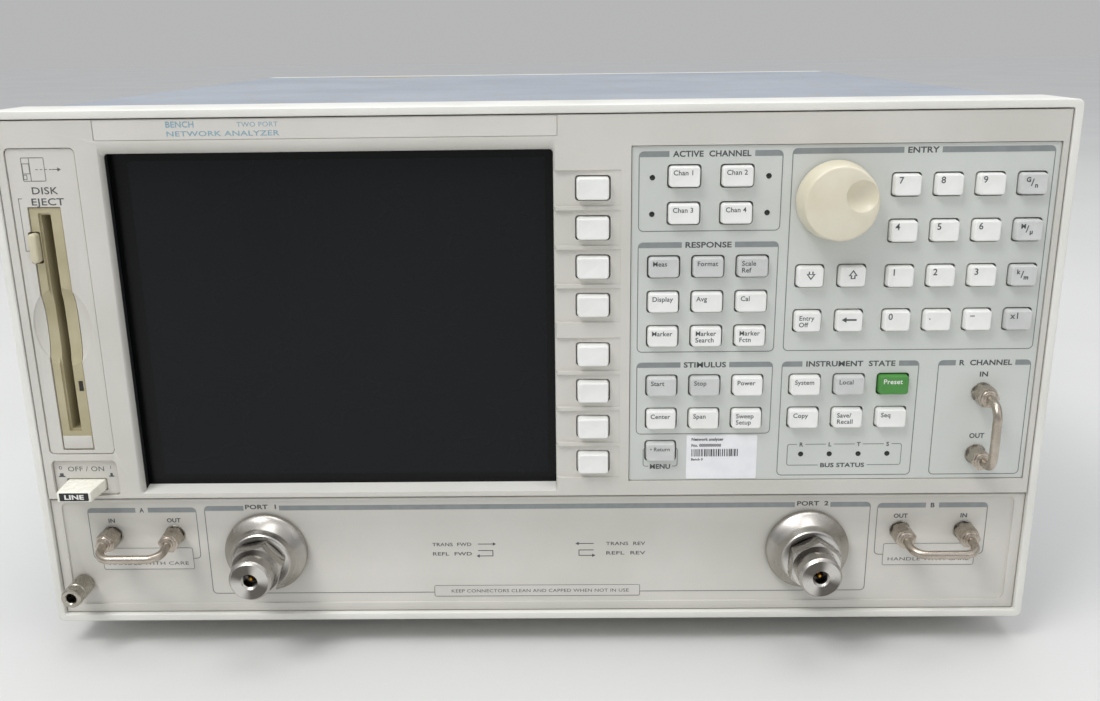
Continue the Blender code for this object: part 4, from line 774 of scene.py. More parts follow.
def keys():
    for index, place in enumerate(SOFT_PLACES, start=1):
        key_pad(f"softkey_{index}", [place], SOFT_KEY, [KEY_WHITE], [[place]], UPPER_Y)
    key_pad("channel_keys", CHANNEL, MAIN_KEY, [KEY_WHITE] * 4, [CHANNEL])
    key_pad("response_keys", RESPONSE, MAIN_KEY, [KEY_GREY] * 3 + [KEY_WHITE] * 6, [RESPONSE])
    key_pad("stimulus_keys", STIMULUS, MAIN_KEY, [KEY_GREY] * 2 + [KEY_WHITE] * 4, [STIMULUS])
    key_pad("return_key", RETURN, MAIN_KEY, [KEY_GREY], [RETURN])
    key_pad("preset_key", PRESET, MAIN_KEY, [KEY_GREEN], [PRESET])
    key_pad("state_keys", STATE, MAIN_KEY, [KEY_WHITE, KEY_GREY] + [KEY_WHITE] * 3,
            [STATE[2:], STATE[:2] + STATE[2:4]])
    key_pad("entry_keys", ENTRY, ENTRY_KEY, ([KEY_WHITE] * 3 + [KEY_GREY]) * 4, [ENTRY])
    key_pad("edit_keys", EDIT, ENTRY_KEY, [KEY_WHITE] * 4, [EDIT])
    for node, legends, places, look in (
            ("channel_keys", ["Chan 1", "Chan 2", "Chan 3", "Chan 4"], CHANNEL, {}),
            ("response_keys", ["Meas", "Format", "Scale\nRef", "Display", "Avg", "Cal",
                               "Marker", "Marker\nSearch", "Marker\nFctn"], RESPONSE, {}),
            ("stimulus_keys", ["Start", "Stop", "Power", "Center", "Span", "Sweep\nSetup"],
             STIMULUS, {}),
            ("return_key", ["• Return"], RETURN, {"capital": 1.6}),
            ("preset_key", ["Preset"], PRESET, {"ink": INK_WHITE, "capital": 2.0}),
            ("state_keys", ["System", "Local", "Copy", "Save/\nRecall", "Seq"], STATE, {})):
        printed(node, key_words(legends, places, MAIN_KEY, **look))
    numbers = key_words(["7", "8", "9", "", "4", "5", "6", "", "1", "2", "3", "",
                         "0", ".", "−", "x1"], ENTRY, ENTRY_KEY, capital=2.5)
    for index, (over, under) in enumerate((("G", "n"), ("M", "µ"), ("k", "m"))):
        x, z = ENTRY[4 * index + 3]
        numbers += [lettering(over, x - 2.6, KEY_FACE, z + 0.9, 1.7, INK_DARK, weight=0.04),
                    lettering("/", x - 1.0, KEY_FACE, z - 0.6, 2.6, INK_DARK, weight=0.02),
                    lettering(under, x + 0.6, KEY_FACE, z - 1.3, 1.7, INK_DARK, weight=0.04)]
    printed("entry_keys", numbers)
    edits = key_words(["", "", "Entry\nOff", ""], EDIT, ENTRY_KEY)
    for place, turn in ((EDIT[0], math.pi), (EDIT[1], 0.0)):
        edits += step_arrow(*place, KEY_FACE, turn)
    x, z = EDIT[3]
    edits += [flat("stem", (x - 1.6, x + 2.6), KEY_FACE, (z + 0.5, z + 1.2), INK_DARK),
              arrow_head(x - 2.1, KEY_FACE, z + 0.85, 1.3, -math.pi / 2, INK_DARK)]
    printed("edit_keys", edits)


def arrow_head(x, y, z, radius, turn, ink, squash=1.0):
    """A printed triangle that points up, turned clockwise."""
    made = primitive(bpy.ops.mesh.primitive_circle_add, "arrow_head", vertices=3,
                     radius=radius * MM, fill_type="NGON", location=spot(x, y - PRINT, z),
                     rotation=(math.pi / 2, turn, 0))
    made.scale.y = squash
    return coated(made, ink)


def step_arrow(x, z, y, turn):
    """An outlined step arrow, as on an up or down key: a head and a stem, with a pale inside."""
    up = math.cos(turn)
    z += 0.9
    return [arrow_head(x, y, z + 0.35 * up, 2.1, turn, INK_DARK, 0.8),
            flat("stem", about(x, 0.95), y, (z - 0.8 - 0.9 * up, z + 0.6 - 0.9 * up),
                 INK_DARK),
            arrow_head(x, y - PRINT / 2, z + 0.3 * up, 1.2, turn, KEY_WHITE, 0.8),
            flat("stem", about(x, 0.45), y - PRINT / 2,
                 (z - 0.45 - 0.9 * up, z + 0.75 - 0.9 * up), KEY_WHITE)]


def keypad_film():
    film = slab("keypad_film", (OVERLAY_LOW.x, OVERLAY_HIGH.x), (OVERLAY_Y, OVERLAY_HIGH.y),
                (OVERLAY_LOW.z, OVERLAY_HIGH.z), corner=0.6)
    front, back = OVERLAY_Y - 9, OVERLAY_HIGH.y + 9
    main = key_openings("main_holes", CHANNEL + RESPONSE + STIMULUS + RETURN + STATE_ALL,
                        MAIN_KEY, front, back)
    entry = key_openings("entry_holes", ENTRY + EDIT, ENTRY_KEY, front, back)
    shaft = bore_shade(5, front, back, KNOB.x, KNOB.z)
    jacks = [bore_shade(JACK_HOLE, front, back, x, z) for x, z in R_JACKS]
    carve(film, main, entry, shaft, *jacks)
    settle(film, finish=OVERLAY_FILM, stands_for=["keypad_overlay"])


STATUS_X = (112.3, 124.3, 136.4, 148.5)
LAMP_PLACES = [(48.2, 193.2), (93.7, 193.4), (48.2, 178.8), (93.6, 179.0),
               *[(x, 76.7) for x in STATUS_X]]


def lamps():
    """Unlit indicator lamps, flush in the film."""
    lens = turned("lamp", [(1.1, OVERLAY_Y + 0.6), (1.1, OVERLAY_Y - 0.05), (0.9, OVERLAY_Y - 0.2),
                           (0.45, OVERLAY_Y - 0.3), (0, OVERLAY_Y - 0.33)], *LAMP_PLACES[0], 20)
    settle(copies("indicator_lamps", lens, LAMP_PLACES), finish=LED_LENS)


def keypad_printing():
    y = OVERLAY_Y
    made = []
    for title, x, z, gap, wide in (
            ("ACTIVE  CHANNEL", (42.8, 99.0), (171.8, 203.4), (54.7, 88.0), 30.5),
            ("RESPONSE", (42.8, 98.9), (121.8, 167.5), (60.3, 81.4), 18.4),
            ("STIMULUS", (42.8, 98.9), (86.0, 117.5), (60.9, 80.9), 17.4),
            ("ENTRY", (102.5, 204.2), (122.0, 204.0), (145.6, 160.4), 12.2),
            ("INSTRUMENT  STATE", (102.5, 158.8), (67.0, 117.5), (110.9, 150.4), 36.5),
            ("R  CHANNEL", (166.5, 204.4), (67.0, 117.5), (173.6, 197.9), 21.5)):
        made += titled_block(title, x, y, z, gap, wide)
    made += [lettering(word, x, y, z, capital, INK_DARK, width=wide)
             for word, x, z, capital, wide in (
                 ("IN", 185.6, 110.4, 2.0, 3.4), ("OUT", 185.3, 83.4, 2.0, 6.2),
                 ("MENU", 53.2, 70.5, 2.0, 8.6), ("BUS STATUS", 130.0, 70.7, 1.8, 18.5))]
    made += [outline("menu_bracket", (45.9, 60.6), y, (71.5, 80.0), INK_LINE, line=0.3,
                     corner=1.2, gaps=[(71.65, 48.2, 58.4), (79.85, 47.2, 59.3)]),
             outline("status_box", (106.5, 154.5), y, (71.5, 81.2), INK_LINE, line=0.3,
                     corner=1.0, gaps=[(71.65, 119.8, 140.4), (81.05, 110.6, 114.0),
                                       (81.05, 122.7, 126.0), (81.05, 134.8, 138.0),
                                       (81.05, 146.9, 150.1)])]
    made += [lettering(letter, x, y, 80.1, 1.7, INK_DARK)
             for letter, x in zip("RLTS", STATUS_X)]
    settle(together("keypad_printing", made))


# ---- tag, name strip ----------------------------------------------------------------------------
def name_strip():
    strip = slab("name_strip", (-169.2, 11.0), (UPPER_Y + 0.18, UPPER_Y + 0.5), (209.9, 217.6),
                 corner=0.7, edge=0.08, edge_steps=1)
    settle(strip, finish=STRIP_FILM)
    y = UPPER_Y + 0.18
    words = [lettering("NETWORK ANALYZER", -140.8, y, 211.2, 1.9, INK_BLUE, width=44,
                       align="LEFT", weight=0.01),
             lettering("BENCH", -140.8, y, 214.6, 2.2, INK_BLUE, width=11, align="LEFT",
                       weight=0.02),
             lettering("TWO PORT", -113.0, y, 214.6, 1.8, INK_BLUE, width=16, align="LEFT",
                       weight=0.0)]
    settle(together("name_strip_words", words))


def paper_tag():
    """The paper tag under the stimulus keys, with made-up lines and bars."""
    face = OVERLAY_Y - 0.2
    tag = slab("paper_tag", (64.2, 93.8), (face, OVERLAY_Y - 0.02), (65.9, 85.4), corner=0.6)
    settle(tag, finish=PAPER)
    made = [lettering("Network analyzer", 66.2, face, 83.1, 1.2, INK_BLACK, align="LEFT"),
            lettering("No. 0000000000", 66.2, face, 80.4, 1.2, INK_BLACK, align="LEFT"),
            lettering("Bench 0", 66.2, face, 74.2, 1.0, INK_BLACK, align="LEFT")]
    chance = random.Random(4)
    x = 66.3
    while x < 86.3:
        wide = chance.choice((0.25, 0.4, 0.6))
        made.append(flat("bar", (x, x + wide), face, (76.0, 79.3), INK_BLACK))
        x += wide + chance.choice((0.25, 0.35, 0.5))
    settle(together("paper_tag_words", made))


# ---- display ------------------------------------------------------------------------------------
def display():
    y = span("display_window")[0].y
    active = slab("liquid_crystal_area", (-160.5, 6.0), (y - 0.05, y + 0.2), (66.5, 201.0),
                  corner=0.4)
    settle(active, finish=GLASS_ACTIVE)
    bezel_low, bezel_high = span("display_bezel")
    # painted shade: the bezel round the glass is made black for the shade on its walls; the real
    # bezel is the frame's off-white, which the sill below keeps
    ring = slab("bezel_painted_black", (bezel_low.x, bezel_high.x), (bezel_low.y, bezel_high.y),
                (bezel_low.z, bezel_high.z), corner=0.5)
    opening = slab("bezel_shade_opening", (GLASS_X[0] - 0.3, GLASS_X[1] + 0.3), (-9, 60),
                   (GLASS_Z[0] - 0.2, GLASS_Z[1] + 0.5), corner=1.2)
    carve(ring, opening)
    settle(ring, finish=BLACK_PLASTIC, stands_for=["display_bezel"])
    sill = slab("window_sill", (GLASS_X[0] + 0.1, GLASS_X[1] - 0.1), (UPPER_Y + 0.3, y - 0.1),
                about(GLASS_Z[0], 0.15))
    edit(sill)
    pick("verts", lambda vert: vert.co.y > 0 and vert.co.z > 0)
    shift(z=1.1)
    done()
    settle(sill, finish=FRAME_ENAMEL)


# ---- knob ---------------------------------------------------------------------------------------
def knob():
    low, high = span("knob")
    face, foot = low.y, high.y
    dial = turned("tuning_knob", [
        (3.35, face + 5.3), (3.35, foot), (15.3, foot), (15.6, foot - 0.2), (15.7, foot - 0.7),
        (15.6, foot - 1.6), (14.55, face + 1.3), (14.35, face + 0.6), (13.95, face + 0.2),
        (13.3, face), (0, face)], KNOB.x, KNOB.z, 96)
    carve(dial, primitive(bpy.ops.mesh.primitive_uv_sphere_add, "finger_dish", segments=48,
                          ring_count=24, radius=7.75 * MM,
                          location=spot(KNOB.x + 7.4, face - 4.65, KNOB.z + 2.9)))
    soften(dial, 0.35, 3, 25)
    settle(dial, "knob", KNOB_CREAM, stands_for=["knob"], angle=40)


# ---- disk drive and line button -----------------------------------------------------------------
def disk_drive():
    low, high = DISK
    bezel = slab("drive_bezel", (low.x, high.x), (low.y, high.y), (low.z, high.z),
                 edge=0.3, edge_steps=2)
    slot_x = DISK_X - 0.4
    slot = slab("disk_slot", about(slot_x, 1.9), (-9, low.y + 105),
                (high.z - 93.8, high.z - 3.0), corner=0.5)
    mouth = slab("slot_mouth", about(slot_x, 2.6), (-9, low.y + 1.2),
                 (high.z - 94.6, high.z - 2.2), corner=0.5)
    eject = slab("eject_pocket", about(EJECT.x, 2.35), (-9, 17.3),
                 about(EJECT.z, 6.5), corner=0.8)
    lamp = slab("lamp_window", (-189.3, -187.4), (-9, low.y + 0.6), (107.0, 111.5), corner=0.2)
    carve(bezel, slot, mouth, scoop(), eject, lamp)
    soften(bezel, 0.25, 2, 50)
    settle(bezel, finish=DRIVE_TAN, stands_for=["disk_drive"], angle=18)
    lens = slab("drive_lamp", (-189.2, -187.5), (low.y + 0.35, low.y + 0.55), (107.1, 111.4))
    settle(lens, finish=LED_LENS)
    blank = slab("drive_blank", (-199.0, -186.8), (low.y - 0.35, low.y + 0.3), (81.6, 87.2),
                 corner=0.3, edge=0.15, edge_steps=2)
    settle(blank, finish=PANEL_PAINT)


def eject_button():
    low, high = span("eject_button")
    cap = slab("eject_cap", about(EJECT.x, 1.8), (low.y + 0.9, 4.5),
               about(EJECT.z, 6.1), corner=1.5, steps=5, edge=0.9, edge_steps=4,
               taper=(0.9, 0.97))
    stem = slab("eject_stem", about(EJECT.x, 1.2), (4.0, high.y),
                about(EJECT.z, 4))
    settle(together("eject_cap", [cap, stem]), "eject_button", EJECT_TAN,
           stands_for=["eject_button"])


def line_button():
    low, high = span("line_button")
    face = low.y
    cap = slab("line_cap", about(LINE.x, 8.25), (face, 7.0),
               about(LINE.z, 2.4), corner=0.4, steps=3,
               taper=(14.3 / 16.5, 4.4 / 4.8), edge=0.35, edge_steps=3)
    stem = slab("line_stem", about(LINE.x, 4.5), (6.5, high.y),
                about(LINE.z, 1.7))
    settle(together("line_cap", [cap, stem]), "line_button", IVORY,
           stands_for=["line_button"])
    plate = slab("line_plate", about(LINE.x, 6.1), (face - 0.12, face + 0.1),
                 about(LINE.z, 1.75), corner=0.35)
    settle(plate, "line_button", BLACK_PLASTIC)
    settle(lettering("LINE", LINE.x, face - 0.12, LINE.z - 0.95, 1.9, INK_WHITE, width=8.2,
                     weight=0.04), "line_button").name = "line_word"


def left_printing():
    y = UPPER_Y + 0.6
    made = [lettering("DISK", -191.6, y, 189.3, 2.7, INK_DARK, width=10.4, weight=0.01),
            lettering("EJECT", -191.0, y, 184.9, 2.7, INK_DARK, width=13.0, weight=0.01)]
    line = 0.3
    made += [flat("rule", (-202.6, -201.0), y, (187.4, 187.4 + line), INK_LINE),
             flat("rule", (-202.6, -202.6 + line), y, (166.6, 187.6), INK_LINE),
             flat("rule", (-202.6, -200.6), y, (166.4, 166.4 + line), INK_LINE)]
    # the pictured disk: its case, shutter and label, and a dashed arrow in the way it goes
    made += [outline("disk_case", (-199.4, -190.2), y, (194.3, 203.7), INK_LINE, line, 0.5),
             outline("disk_shutter", (-199.2, -196.2), y, (197.2, 201.4), INK_LINE, line, 0.2),
             flat("rule", (-196.3, -196.0), y, (194.5, 203.5), INK_LINE),
             outline("disk_hub", (-199.2, -197.6), y, (195.0, 197.0), INK_LINE, line, 0.2)]
    made += [flat("dash", (x, x + 1.0), y, (198.8, 199.1), INK_LINE)
             for x in (-194.0, -192.2, -190.4, -188.6)]
    made += [flat("dash", (-187.4, -184.6), y, (198.8, 199.1), INK_LINE),
             arrow_head(-184.8, y, 198.95, 1.0, math.pi / 2, INK_LINE)]
    y = UPPER_Y + 1.5
    made += [lettering("OFF / ON", -191.5, y, 70.9, 2.1, INK_DARK, width=15.5, weight=0.0),
             lettering("I", -180.9, y, 71.8, 1.5, INK_DARK, weight=0.0),
             outline("off_ring", (-203.1, -201.8), y, (71.8, 73.3), INK_DARK, 0.25, 0.6)]
    for x, wide in ((-202.3, 0.8), (-180.9, 0.5)):
        made += [flat("push", about(x, wide), y, (68.8, 70.0), INK_DARK),
                 flat("push", (x - wide - 0.6, x + wide + 0.6), y, (68.3, 68.8), INK_DARK)]
    settle(together("left_printing", made))


# ---- lower panel --------------------------------------------------------------------------------
PORTS = [middle("port_1_connector").x, middle("port_2_connector").x]
PORT_Z = middle("port_1_connector").z
AB_Z = 40.7
JACK_SPAN = 27.2
AB_JACKS = [(middle(node).x + side * JACK_SPAN / 2, AB_Z)
            for node in ("link_a", "link_b") for side in (-1, 1)]
GROUND = middle("ground_jack")


def lower_panel():
    panel = slab("lower_panel_plate", (LOWER_LOW.x, LOWER_HIGH.x), (LOWER_LOW.y, LOWER_HIGH.y),
                 (LOWER_LOW.z, LOWER_HIGH.z), edge=0.3, edge_steps=2)
    front, back = LOWER_LOW.y - 9, LOWER_HIGH.y + 9
    side = LOWER_HIGH.x - 4.2
    tray = slab("tray", (-side, side), (front, LOWER_Y), (LOWER_LOW.z + 3.8, LOWER_HIGH.z - 1.2),
                corner=3, steps=6)
    carve(panel, tray, *[bore_shade(12.3, front, back, x, PORT_Z, 48) for x in PORTS],
          *[bore_shade(JACK_HOLE, front, back, x, z) for x, z in AB_JACKS],
          bore_shade(3.7, front, back, GROUND.x, GROUND.z))
    soften(panel, 0.3, 2, 50)
    settle(panel, finish=PANEL_PAINT, stands_for=["lower_front_panel"])


def lower_printing():
    y = LOWER_Y
    made = titled_block("A", (-194.0, -146.6), y, (29.0, 53.4), (-173.0, -167.6), 1.9, 2.0)
    made += titled_block("B", (146.7, 193.9), y, (29.0, 53.4), (167.4, 173.0), 1.7, 2.0)
    made += port_block(y)
    made += [lettering(word, x, y, 46.5, 1.8, INK_DARK, width=wide) for word, x, wide in
             (("IN", -183.9, 2.8), ("OUT", -156.9, 6.0), ("OUT", 157.0, 6.0), ("IN", 184.0, 2.8))]
    made += [lettering(word, x, y, z, 1.55, INK_DARK, width=17.0, weight=0.01)
             for word, x, z in (("TRANS  FWD", -36.5, 34.3), ("REFL  FWD", -36.5, 29.8),
                                ("TRANS  REV", 39.0, 34.3), ("REFL  REV", 39.0, 29.8))]
    for side in (-1, 1):
        made += flow_arrows(side, y)
    notes = (((-190, -150), (24.0, 34.4)), ((150.6, 190.2), (24.0, 34.4)),
             ((-45, 45.5), (9.9, 15.4)))
    film_y = y - 0.1
    made += [outline("note_frame", x, film_y, z, INK_LINE, 0.25, 0.8) for x, z in notes]
    settle(together("lower_printing", made))
    films = [slab("note_film", x, (film_y, y - 0.02), z, corner=0.8) for x, z in notes]
    settle(together("note_films", films), finish=STRIP_FILM)
    care, caps = "HANDLE WITH CARE", "KEEP CONNECTORS CLEAN AND CAPPED WHEN NOT IN USE"
    words = [lettering(line, x, film_y, z, 1.5, INK_DARK, width=wide, weight=0.0)
             for line, x, z, wide in ((care, -170.0, 26.2, 35.0), (care, 170.4, 26.2, 35.0),
                                      (caps, 1.5, 11.8, 78.0))]
    settle(together("note_words", words))


def port_block(y):
    """The wide frame round both ports: two titles, and a thick bar between them."""
    x, z = (-143.2, 143.9), (11.8, 54.0)
    gaps = ((-126.0, -110.6), (111.4, 126.6))
    made = [outline("port_frame", x, y, z, INK_LINE, corner=BLOCK_CORNER,
                    gaps=[(z[1] - IN_LINE, *gap) for gap in gaps])]
    made += [thick_bar(first, last, y, z[1], side)
             for first, last, side in ((x[0], gaps[0][0], -1), (gaps[0][1], gaps[1][0], 0),
                                       (gaps[1][1], x[1], 1))]
    made += [lettering(word, sum(gap) / 2, y, z[1] - 1.5, 1.9, INK_DARK, width=13.4)
             for word, gap in zip(("PORT  1", "PORT  2"), gaps)]
    return made


def flow_arrows(side, y):
    """An arrow for what passes through and one that turns back, mirrored for the other port."""
    def rule(first, last, low, high):
        return flat("rule", tuple(sorted((side * first, side * last))), y, (low, high), INK_DARK)
    start, end = (25.2, 18.6)
    head = math.pi / 2 if side < 0 else -math.pi / 2
    made = [rule(start, end, 35.0, 35.35), arrow_head(side * 18.2, y, 35.17, 0.95, head, INK_DARK)]
    made += [rule(start, end, 31.9, 32.25), rule(end + 0.35, end, 29.5, 32.25),
             rule(start - 0.5, end, 29.3, 29.65),
             arrow_head(side * 25.0, y, 29.47, 0.95, -head, INK_DARK)]
    return made


def test_port(number, x):
    """Flange and cone, the coupling nut with its hexagon, the gold pin in its bore, and a black
    disc round the pin as painted shade.
    """
    steel = turned_steel(f"turned_stainless_steel_{number}", x, PORT_Z)
    seat = LOWER_Y - 0.3
    body = turned(f"port_{number}_body", [
        (12.0, 30), (12.0, seat), (17.55, seat), (17.8, seat - 0.25), (17.8, -0.2),
        (17.5, -0.7), (16.9, -1.3), (15.2, -3.6), (14.2, -5.0), (13.6, -5.9), (13.2, -6.9),
        (12.7, -8.1), (12.2, -8.6), (11.0, -9.0), (6.0, -9.0), (6.0, -20.0), (0.0, -20.0)],
        x, PORT_Z, 96)
    settle(body, finish=steel, stands_for=[f"port_{number}_connector"],
           angle=20)
    pin = turned("pin", [(0.9, -19.5), (0.9, -22.9), (0.55, -23.5), (0, -23.6)], x, PORT_Z, 24)
    # painted shade: a black disc deep in the bore, round the pin's foot
    bore_shade_disc = turned("bore_shade_disc", [(2.2, -19.8), (2.2, -20.3), (1.2, -20.3), (1.2, -20.0), (0, -20.0)],
                  x, PORT_Z, 32)
    settle(pin, finish=GOLD).name = f"port_{number}_pin"
    settle(bore_shade_disc, finish=PAINTED_SHADE_BLACK).name = f"port_{number}_bore"
    rear, front = -9.6, span(f"port_{number}_nut")[0].y
    sleeve = turned("sleeve", [
        (6.3, rear), (8.3, rear), (8.7, rear - 0.5), (8.8, rear - 1.0), (8.8, front + 1.3),
        (8.1, front + 0.3), (7.8, front), (3.5, front), (2.7, front + 0.8), (2.7, -20.3),
        (6.3, -20.3)], x, PORT_Z, 96)
    close_ring(sleeve)
    turn = math.radians(18 if number == 1 else 4)
    nut = hexagon("hexagon", 20, rear - 0.4, rear - 7.5, x, PORT_Z, turn, chamfer=1.4)
    carve(nut, bore_shade(8.4, 0, -60, x, PORT_Z, 64))
    weld(sleeve, nut)
    settle(sleeve, f"port_{number}_nut", steel, stands_for=[f"port_{number}_nut"],
           angle=20)
    sleeve.name = f"port_{number}_coupling"


def close_ring(obj):
    """Joins the first and last ring of a turned piece that has a hole along its axis."""
    edit(obj)
    pick("faces", lambda face: len(face.verts) > 20)
    bpy.ops.mesh.bridge_edge_loops()
    face_out()
    return done()


def hexagon(name, flats, back, front, x, z, turn, chamfer):
    """A hexagon across `flats`, both ends turned down to a cone, as on a real nut."""
    corner = flats / 2 / math.cos(math.pi / 6)
    made = primitive(bpy.ops.mesh.primitive_cylinder_add, name, vertices=6, radius=corner * MM,
                     depth=abs(back - front) * MM, location=spot(x, (back + front) / 2, z),
                     rotation=(math.pi / 2, turn, 0))
    rise = chamfer * 0.55
    shape = turned("cone", [(corner - chamfer, back + 0.01), (corner + 0.2, back - rise),
                            (corner + 0.2, front + rise), (corner - chamfer, front - 0.01)],
                   x, z, 64)
    keep_inside(made, shape)
    return soften(made, 0.12, 2, 35)


def link(node, ends, droop):
    """A jumper of semi-rigid tube with a hexagon coupling and a ferrule at each end."""
    reach, bend, wire = 17.0, 6.0, 1.8
    start = 7.5                     # the tube leaves its couplings this far in front
    straight = reach - start - bend
    first, last = [Vector((x, -start, z)) for x, z in ends]
    across = (last - first).normalized()
    points = [first, first + Vector((0, -straight, 0))]
    sag = Vector((0, 0, -droop))
    steps = 8
    for origin, sign in ((first, 1), (last, -1)):
        arc = []
        for step in range(1, steps + 1):
            angle = math.pi / 2 * step / steps
            arc.append(origin + across * sign * bend * (1 - math.cos(angle))
                       + Vector((0, -straight - bend * math.sin(angle), 0)))
        points += arc if sign == 1 else list(reversed(arc))
    points += [last + Vector((0, -straight, 0)), last]
    curve = bpy.data.curves.new(node + "_tube", "CURVE")
    curve.dimensions = "3D"
    curve.bevel_depth = wire * MM
    curve.bevel_resolution = 5
    curve.use_fill_caps = True
    line = curve.splines.new("POLY")
    line.points.add(len(points) - 1)
    for knot, place in zip(line.points, points):
        share = min(1.0, max(0.0, (first.y - place.y) / (reach - start)))
        knot.co = (*spot(*(place + sag * share)), 1)
    tube = bpy.data.objects.new(node + "_tube", curve)
    bpy.context.scene.collection.objects.link(tube)
    choose(tube)
    bpy.ops.object.convert(target="MESH")
    pieces = [bpy.context.object]
    for index, (x, z) in enumerate(ends):
        turn = math.radians(12 + 23 * index)
        nut = hexagon("coupling", 7.8, 1.0, -6.6, x, z, turn, 0.45)
        carve(nut, bore_shade(3.4, 9, -4.3, x, z, 40))
        ferrule = turned("ferrule", [(3.4, -6.2), (3.4, -7.3), (3.1, -7.6), (2.7, -7.7),
                                     (2.6, -8.3), (2.3, -8.5), (1.9, -8.5)], x, z, 40)
        pieces += [nut, ferrule]
    made = together(node + "_jumper", pieces)
    edit(made)
    face_out()
    done()
    settle(made, finish=TARNISHED, stands_for=[node], angle=35)


def jack_collars():
    """Threaded ends of the six bulkhead jacks and their washers, seen behind the couplings."""
    made = []
    places = [(x, z, LOWER_Y) for x, z in AB_JACKS] + [(x, z, OVERLAY_Y) for x, z in R_JACKS]
    for x, z, y in places:
        made.append(close_ring(turned(
            "collar", [(4.25, y + 0.6), (4.25, y + 0.1), (4.05, y - 0.05), (3.2, y - 0.05),
                       (3.2, y + 0.6)], x, z, 40)))
    settle(together("jack_collars", made), finish=NICKEL)


def ground_jack():
    seat, tip = LOWER_Y - 0.3, span("ground_jack")[0].y
    post = turned("ground_post", [
        (3.4, 14), (3.4, seat), (4.1, seat), (4.4, seat - 0.3), (4.4, tip + 5.2),
        (4.1, tip + 4.9), (4.1, tip + 4.3), (4.4, tip + 4.0), (4.4, tip + 0.9), (4.2, tip + 0.3),
        (3.7, tip), (2.6, tip), (2.2, tip + 0.5), (2.1, tip + 1.2), (2.1, -1.0), (0, -1.0)],
        GROUND.x, GROUND.z, 64)
    settle(post, finish=NICKEL, stands_for=["ground_jack"], angle=25)


# ---- sides --------------------------------------------------------------------------------------
COVER = span("side_cover_right")
STRAP = span("strap_handle_right")
SHEET = 1.5
RECESS_Y = (STRAP[0].y - 0.3, STRAP[1].y + 0.3)
RECESS_Z = ((COVER[0].z + COVER[1].z) / 2 - 22, (COVER[0].z + COVER[1].z) / 2 + 22)
CAP_LONG = 26


def on_side(side, near, far):
    """The x span between two distances from the middle, on the left (-1) or right (1) side."""
    return tuple(sorted((side * near, side * far)))


def side_cover(word, side):
    """The side sheet, its pressed-in strap recess, the louvred vent behind it, and a black sheet
    behind the vent as painted shade.
    """
    face, floor = COVER[1].x, STRAP[0].x - 0.3
    sheet = slab("side_sheet", on_side(side, face - SHEET, face), (COVER[0].y, COVER[1].y),
                 (COVER[0].z, COVER[1].z))
    tub = slab("recess_tub", on_side(side, floor - SHEET, face - SHEET / 2),
               (RECESS_Y[0] - SHEET, RECESS_Y[1] + SHEET),
               (RECESS_Z[0] - SHEET, RECESS_Z[1] + SHEET))
    hollow = slab("recess_hollow", on_side(side, floor, face + 9), RECESS_Y, RECESS_Z)
    first = slab("vent_slot", on_side(side, face - 6, face + 6), (366, 369), (34, 62))
    slots = [first] + [moved_copy(first, 0, 8 * column, 37 * row)
                       for column in range(6) for row in range(4) if column or row]
    carve(weld(sheet, tub), hollow)
    soften(sheet, 0.5, 3, 50)
    carve(sheet, together("vent_slots", slots))
    settle(sheet, finish=COVER_PAINT, stands_for=["side_cover_" + word],
           angle=20)
    sheet.name = "side_sheet_" + word
    # painted shade: a black sheet behind the vent slots darkens the inside seen through them
    shade = slab("vent_painted_shade", on_side(side, face - 3.4, face - 2.9), (363, 412), (31, 176))
    settle(shade, finish=PAINTED_SHADE_BLACK).name = "vent_painted_shade_" + word


def strap_handle(word, side):
    """A ribbed vinyl strap between two moulded caps, each held by a screw."""
    face = STRAP[1].x
    middle_z = (RECESS_Z[0] + RECESS_Z[1]) / 2
    along = (STRAP[0].y + CAP_LONG / 2, STRAP[1].y - CAP_LONG / 2)
    strap = slab("strap", on_side(side, face - 3.6, face - 0.9), along, about(middle_z, 13))
    ribs = [slab("rib", on_side(side, face - 1.2, face - 0.35), along,
                 about(middle_z + rise, 1.1)) for rise in (-9, -4.5, 0, 4.5, 9)]
    band = soften(together("strap_band", [strap] + ribs), 0.45, 2)
    caps = []
    for near in (STRAP[0].y, STRAP[1].y - CAP_LONG):
        cap = slab("strap_cap", on_side(side, STRAP[0].x, face), (near, near + CAP_LONG),
                   about(middle_z, 16))
        soften(cap, 1.6, 4)
        caps.append(cap)
    settle(band, finish=STRAP_VINYL)
    band.name = "strap_band_" + word
    settle(together("strap_caps_" + word, caps), finish=BLACK_PLASTIC,
           stands_for=["strap_handle_" + word])


# ---- rear ---------------------------------------------------------------------------------------
REAR = span("rear_panel")
REAR_FACE = REAR[1].y
FAN = middle("fan_rotor")
INLET = (span("power_supply")[1].x - 55, 45.0)
BANK_X, BANK_Z = -10.0, 172.0
BANK_Y = REAR[0].y + 5
BNC_PLACES = [(-45 + 22 * index, 62.0) for index in range(5)]
WORDS_OVER_BNC = 73
FRAME_BACK = span("rear_frame")[1].y
REAR_GUARD = span("rear_guard_right")


